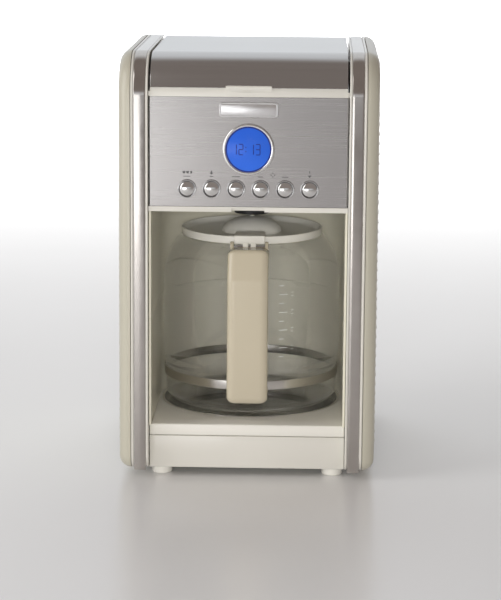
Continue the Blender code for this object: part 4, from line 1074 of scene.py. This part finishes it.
def carafe_band():
    """The steel band round the foot of the glass, its edges rolled."""
    thick = 0.8 * MM
    section = rounded([(BAND_RADIUS, BAND_HIGH), (BAND_RADIUS, BAND_LOW), (BAND_RADIUS - thick, BAND_LOW),
                       (BAND_RADIUS - thick, BAND_HIGH)], 0.3 * MM, 3)
    stand_for(turned("carafe_band_fine", section, (0, CARAFE_Y, 0), 160), "band", "carafe_band")


def carafe_handle():
    """A C of moulded plastic: rounded grip, sloping shoulder and two arms to the glass."""
    front, bottom = HANDLE_LOW.y, HANDLE_LOW.z
    half = (HANDLE_HIGH.x - HANDLE_LOW.x) / 2 - 0.5 * MM
    top = PIN.z
    back = front + 13 * MM
    knee = top - 22.5 * MM
    arm = 12 * MM
    band_end = CARAFE_Y - BAND_RADIUS - 0.3 * MM
    neck_low = CARAFE_Y - glass_radius_at(top - arm) - 0.9 * MM
    neck_high = CARAFE_Y - glass_radius_at(top - 1 * MM) - 0.9 * MM
    side = [(band_end, bottom)]
    side += arc((front + 7 * MM, bottom + 7 * MM), 7 * MM, 3 * pi / 2, pi, 10)
    shoulder = [(front, knee - 6 * MM), (front, knee), (front + 9 * MM, top + 1 * MM)]
    shoulder += [(front + 12 * MM, top + 3 * MM), (front + 16 * MM, top + 2 * MM)]
    side += rounded_open(shoulder, 5 * MM)
    side += [(neck_high, top - 1 * MM), (neck_low, top - arm)]
    under = [(back + 18 * MM, top - arm), (back + 12 * MM, top - arm)]
    under += [(back, knee - 3 * MM), (back, knee - 8 * MM)]
    side += rounded_open(under, 6 * MM)
    side += arc((back + 4 * MM, bottom + arm + 4 * MM), 4 * MM, pi, 3 * pi / 2, 8)
    side.append((band_end, bottom + arm))
    grip = pillow("grip", side, half, 7.4 * MM)
    slot_half, cheek = half - 4 * MM, 1.5 * MM
    ears = [ear(sign * (slot_half + cheek), cheek) for sign in (-1, 1)]
    stand_for(merge("carafe_handle_fine", grip, *ears), "handle", "carafe_handle", 45)


def pillow(name, outline, half, softness):
    """A closed side outline given a width, its rims rounded over as on soft moulded plastic."""
    count = len(outline)
    inward = []
    for i, point in enumerate(outline):
        here = Vector(point)
        before = (here - Vector(outline[i - 1])).normalized()
        after = (Vector(outline[(i + 1) % count]) - here).normalized()
        middle = (before + after).normalized()
        lean = max(middle.dot(before), 0.5)
        inward.append(Vector((middle.y, -middle.x)) / lean)
    area = sum(a[0] * b[1] - b[0] * a[1] for a, b in zip(outline, outline[1:] + outline[:1]))
    turn = -1 if area > 0 else 1
    steps, depth = 10, 0.72 * softness
    angles = [pi / 2 * (i / steps) for i in range(steps + 1)]
    levels = [(depth * (1 - cos(a)), half - softness + softness * sin(a)) for a in angles]
    stations = [(inset, -x) for inset, x in levels[::-1]] + levels

    def build(form):
        rings = []
        for inset, x in stations:
            moved = [Vector(p) + turn * inset * n for p, n in zip(outline, inward)]
            rings.append([(x, *point) for point in moved])
        lofted(form, rings)

    return link(name, mesh_from(name, build))


def rounded_open(points, radius, steps=6):
    """An open line with its inner corners rounded."""
    out = [points[0]]
    for before, here, after in zip(points, points[1:], points[2:]):
        here, before, after = Vector(here), Vector(before), Vector(after)
        reach = min(radius, (before - here).length * 0.48, (after - here).length * 0.48)
        start, end = here + (before - here).normalized() * reach, here + (after - here).normalized() * reach
        for step in range(steps + 1):
            t = step / steps
            out.append(tuple((1 - t) ** 2 * start + 2 * t * (1 - t) * here + t**2 * end))
    return out + [points[-1]]


def ear(centre_x, half):
    """One cheek of the lid's hinge, round over the pin."""
    radius = 3.6 * MM
    crown = arc((PIN.y, PIN.z + 0.6 * MM), radius, 0, pi, 12)
    points = [*crown, (PIN.y - radius, PIN.z - 3 * MM), (PIN.y + radius, PIN.z - 3 * MM)]
    return prism("ear", points, centre_x - half, centre_x + half, YZ_FRAME, edge=0.6 * MM, segments=3)


def lid_pin():
    rod = tube("lid_pin_fine", PIN_RADIUS, 0.01 * MM, high("lid_pin").x, PIN, 0.3 * MM, 2)
    stand_for(rod, "wire", "lid_pin")


def carafe_lid():
    """The dished lid with its rolled rim, a dome in the middle and the hinge block."""
    wall = 1.8 * MM
    dish = LID_TOP - 4.6 * MM
    rim_in = MOUTH_RADIUS - wall
    dome, hole = 27 * MM, 2.5 * MM
    crown = []
    for i in range(25):
        angle = pi / 2 * i / 24
        crown.append((max(dome * cos(angle), hole), dish + (LID_TOP + DOME_HEIGHT - dish) * sin(angle)))
    under = [(r, z - wall) for r, z in crown]
    edge = arc((MOUTH_RADIUS - 0.9 * MM, LID_TOP - 0.9 * MM), 0.9 * MM, pi, 0, 10)
    foot_edge = arc((MOUTH_RADIUS - 0.5 * MM, LID_BOTTOM + 0.5 * MM), 0.5 * MM, 0, -pi / 2, 4)
    slope = [(dome + 2 * MM, dish), (rim_in - 5 * MM, dish), (rim_in - 2.6 * MM, dish + 1 * MM)]
    slope.append((rim_in - 0.2 * MM, LID_TOP - 1.2 * MM))
    upper = crown[::-1] + rounded_open(slope, 2 * MM, 4)
    profile = under + upper + edge + foot_edge + [(rim_in, LID_BOTTOM), (rim_in, dish - wall)]
    lid = turned("lid_dish", profile, (0, CARAFE_Y, 0), 160)
    block_half = high("carafe_handle").x - 4.8 * MM
    front = CARAFE_Y - MOUTH_RADIUS
    block_low = (-block_half, PIN.y - 0.5 * MM, LID_BOTTOM + 1.6 * MM)
    block = box("lid_block", block_low, (block_half, front + 16 * MM, LID_TOP + 2.2 * MM), 0.8 * MM, 4)
    knuckles = []
    for x in (-3.4 * MM, 3.4 * MM):
        least = (x - 2.4 * MM, PIN.y - 2.4 * MM, PIN.z - 2.3 * MM)
        knuckles.append(box("knuckle", least, (x + 2.4 * MM, PIN.y + 2.4 * MM, LID_BOTTOM + 3 * MM), 0.8 * MM))
    stand_for(merge("carafe_lid_fine", lid, block, *knuckles), "lid", "carafe_lid", 40)


def carafe():
    carafe_glass()
    scale_marks()
    carafe_band()
    carafe_handle()
    lid_pin()
    carafe_lid()


# ---------------------------------------------------------------- stage


ROOM_LIGHT = (0.86, 0.89, 0.92)
DIM_STUDIO = (0.27, 0.235, 0.215)
FLOOR_THICK = 0.02
VIEW_FROM_CORNER = (0.06045, -1.90922, 0.5267)
VIEW_TURNS = (radians(-1.73), radians(-11.062), radians(0.424))
LENS, SENSOR = 135.34, 36


def area_light(name, place, target, size, power, mirrored=True, spread=180):
    """A rectangular lamp of a size in metres and a power in watts, turned to face its target."""
    light = bpy.data.lights.new(name, "AREA")
    light.shape = "RECTANGLE"
    light.size, light.size_y = size
    light.energy = power
    light.spread = radians(spread)
    obj = link(name, light)
    obj.visible_glossy = mirrored
    obj.location = place
    obj.rotation_euler = (Vector(target) - Vector(place)).to_track_quat("-Z", "Y").to_euler()


def surroundings():
    """White room light all round, with the dim studio in front of and over the machine."""
    world = bpy.data.worlds.new("studio")
    world.use_nodes = True
    tree = world.node_tree

    def stepped(value, start, end):
        node = tree.nodes.new("ShaderNodeMapRange")
        node.interpolation_type = "SMOOTHSTEP"
        node.inputs["From Min"].default_value = start
        node.inputs["From Max"].default_value = end
        tree.links.new(value, node.inputs["Value"])
        return node.outputs["Result"]

    split = tree.nodes.new("ShaderNodeSeparateXYZ")
    tree.links.new(tree.nodes.new("ShaderNodeTexCoord").outputs["Generated"], split.inputs["Vector"])
    both = tree.nodes.new("ShaderNodeMath")
    both.operation = "MULTIPLY"
    tree.links.new(stepped(split.outputs["Z"], -0.02, 0.1), both.inputs[0])
    tree.links.new(stepped(split.outputs["Y"], 0.62, 0.2), both.inputs[1])
    blend = tree.nodes.new("ShaderNodeMix")
    blend.data_type = "RGBA"
    blend.inputs["A"].default_value = (*ROOM_LIGHT, 1)
    blend.inputs["B"].default_value = (*DIM_STUDIO, 1)
    dimmer = tree.nodes.new("ShaderNodeMath")
    dimmer.operation = "MAXIMUM"
    tree.links.new(both.outputs["Value"], dimmer.inputs[0])
    tree.links.new(stepped(split.outputs["X"], 0.15, 0.6), dimmer.inputs[1])
    tree.links.new(dimmer.outputs["Value"], blend.inputs["Factor"])
    background = tree.nodes["Background"]
    tree.links.new(blend.outputs["Result"], background.inputs["Color"])
    background.inputs["Strength"].default_value = 1.0
    bpy.context.scene.world = world


def studio():
    floor = prism("floor", [(-9, -6), (9, -6), (9, 14), (-9, 14)], -FLOOR_THICK, 0.0)
    floor.data.materials.append(floor_white("floor_white"))
    surroundings()
    bpy.context.scene.view_settings.view_transform = "Standard"
    area_light("key", (-1.4, -0.66, 0.78), (0, 0, 0.25), size=(0.85, 1.5), power=9)
    area_light("pool", (-0.55, -1.6, 0.32), (-0.5, -1.6, 0), size=(0.3, 0.6), power=4, mirrored=False)
    area_light("low_left", (-0.62, -1.5, 0.14), (-0.1, 0, 0.3), size=(0.9, 0.24), power=1.5)
    area_light("niche_fill", (0.05, -2.3, 0.5), (0, 0, 0.14), (0.5, 0.3), 1.0, mirrored=False, spread=40)
    area_light("backdrop", (0, 4.4, 2.6), (0, 4.6, 0), size=(5, 3.6), power=380, mirrored=False, spread=130)


def camera():
    """A long lens a little above the machine and nearly square to it."""
    yaw, pitch, roll = VIEW_TURNS
    forward = Vector((sin(yaw) * cos(pitch), cos(yaw) * cos(pitch), sin(pitch)))
    right = Vector((cos(yaw), -sin(yaw), 0))
    up = right.cross(forward)
    turned_right = right * cos(roll) + up * sin(roll)
    turned_up = up * cos(roll) - right * sin(roll)
    data = bpy.data.cameras.new("view")
    data.sensor_width = SENSOR
    data.lens = LENS
    data.clip_end = 40
    axes = Matrix((turned_right, turned_up, -forward)).transposed().to_4x4()
    place = Vector(VIEW_FROM_CORNER) + Vector((0, FRONT, BASE_Z))
    bpy.context.scene.camera = link("view", data, Matrix.Translation(place) @ axes)


casing()
base_and_niche()
head()
brewing_parts()
carafe()
studio()
camera()
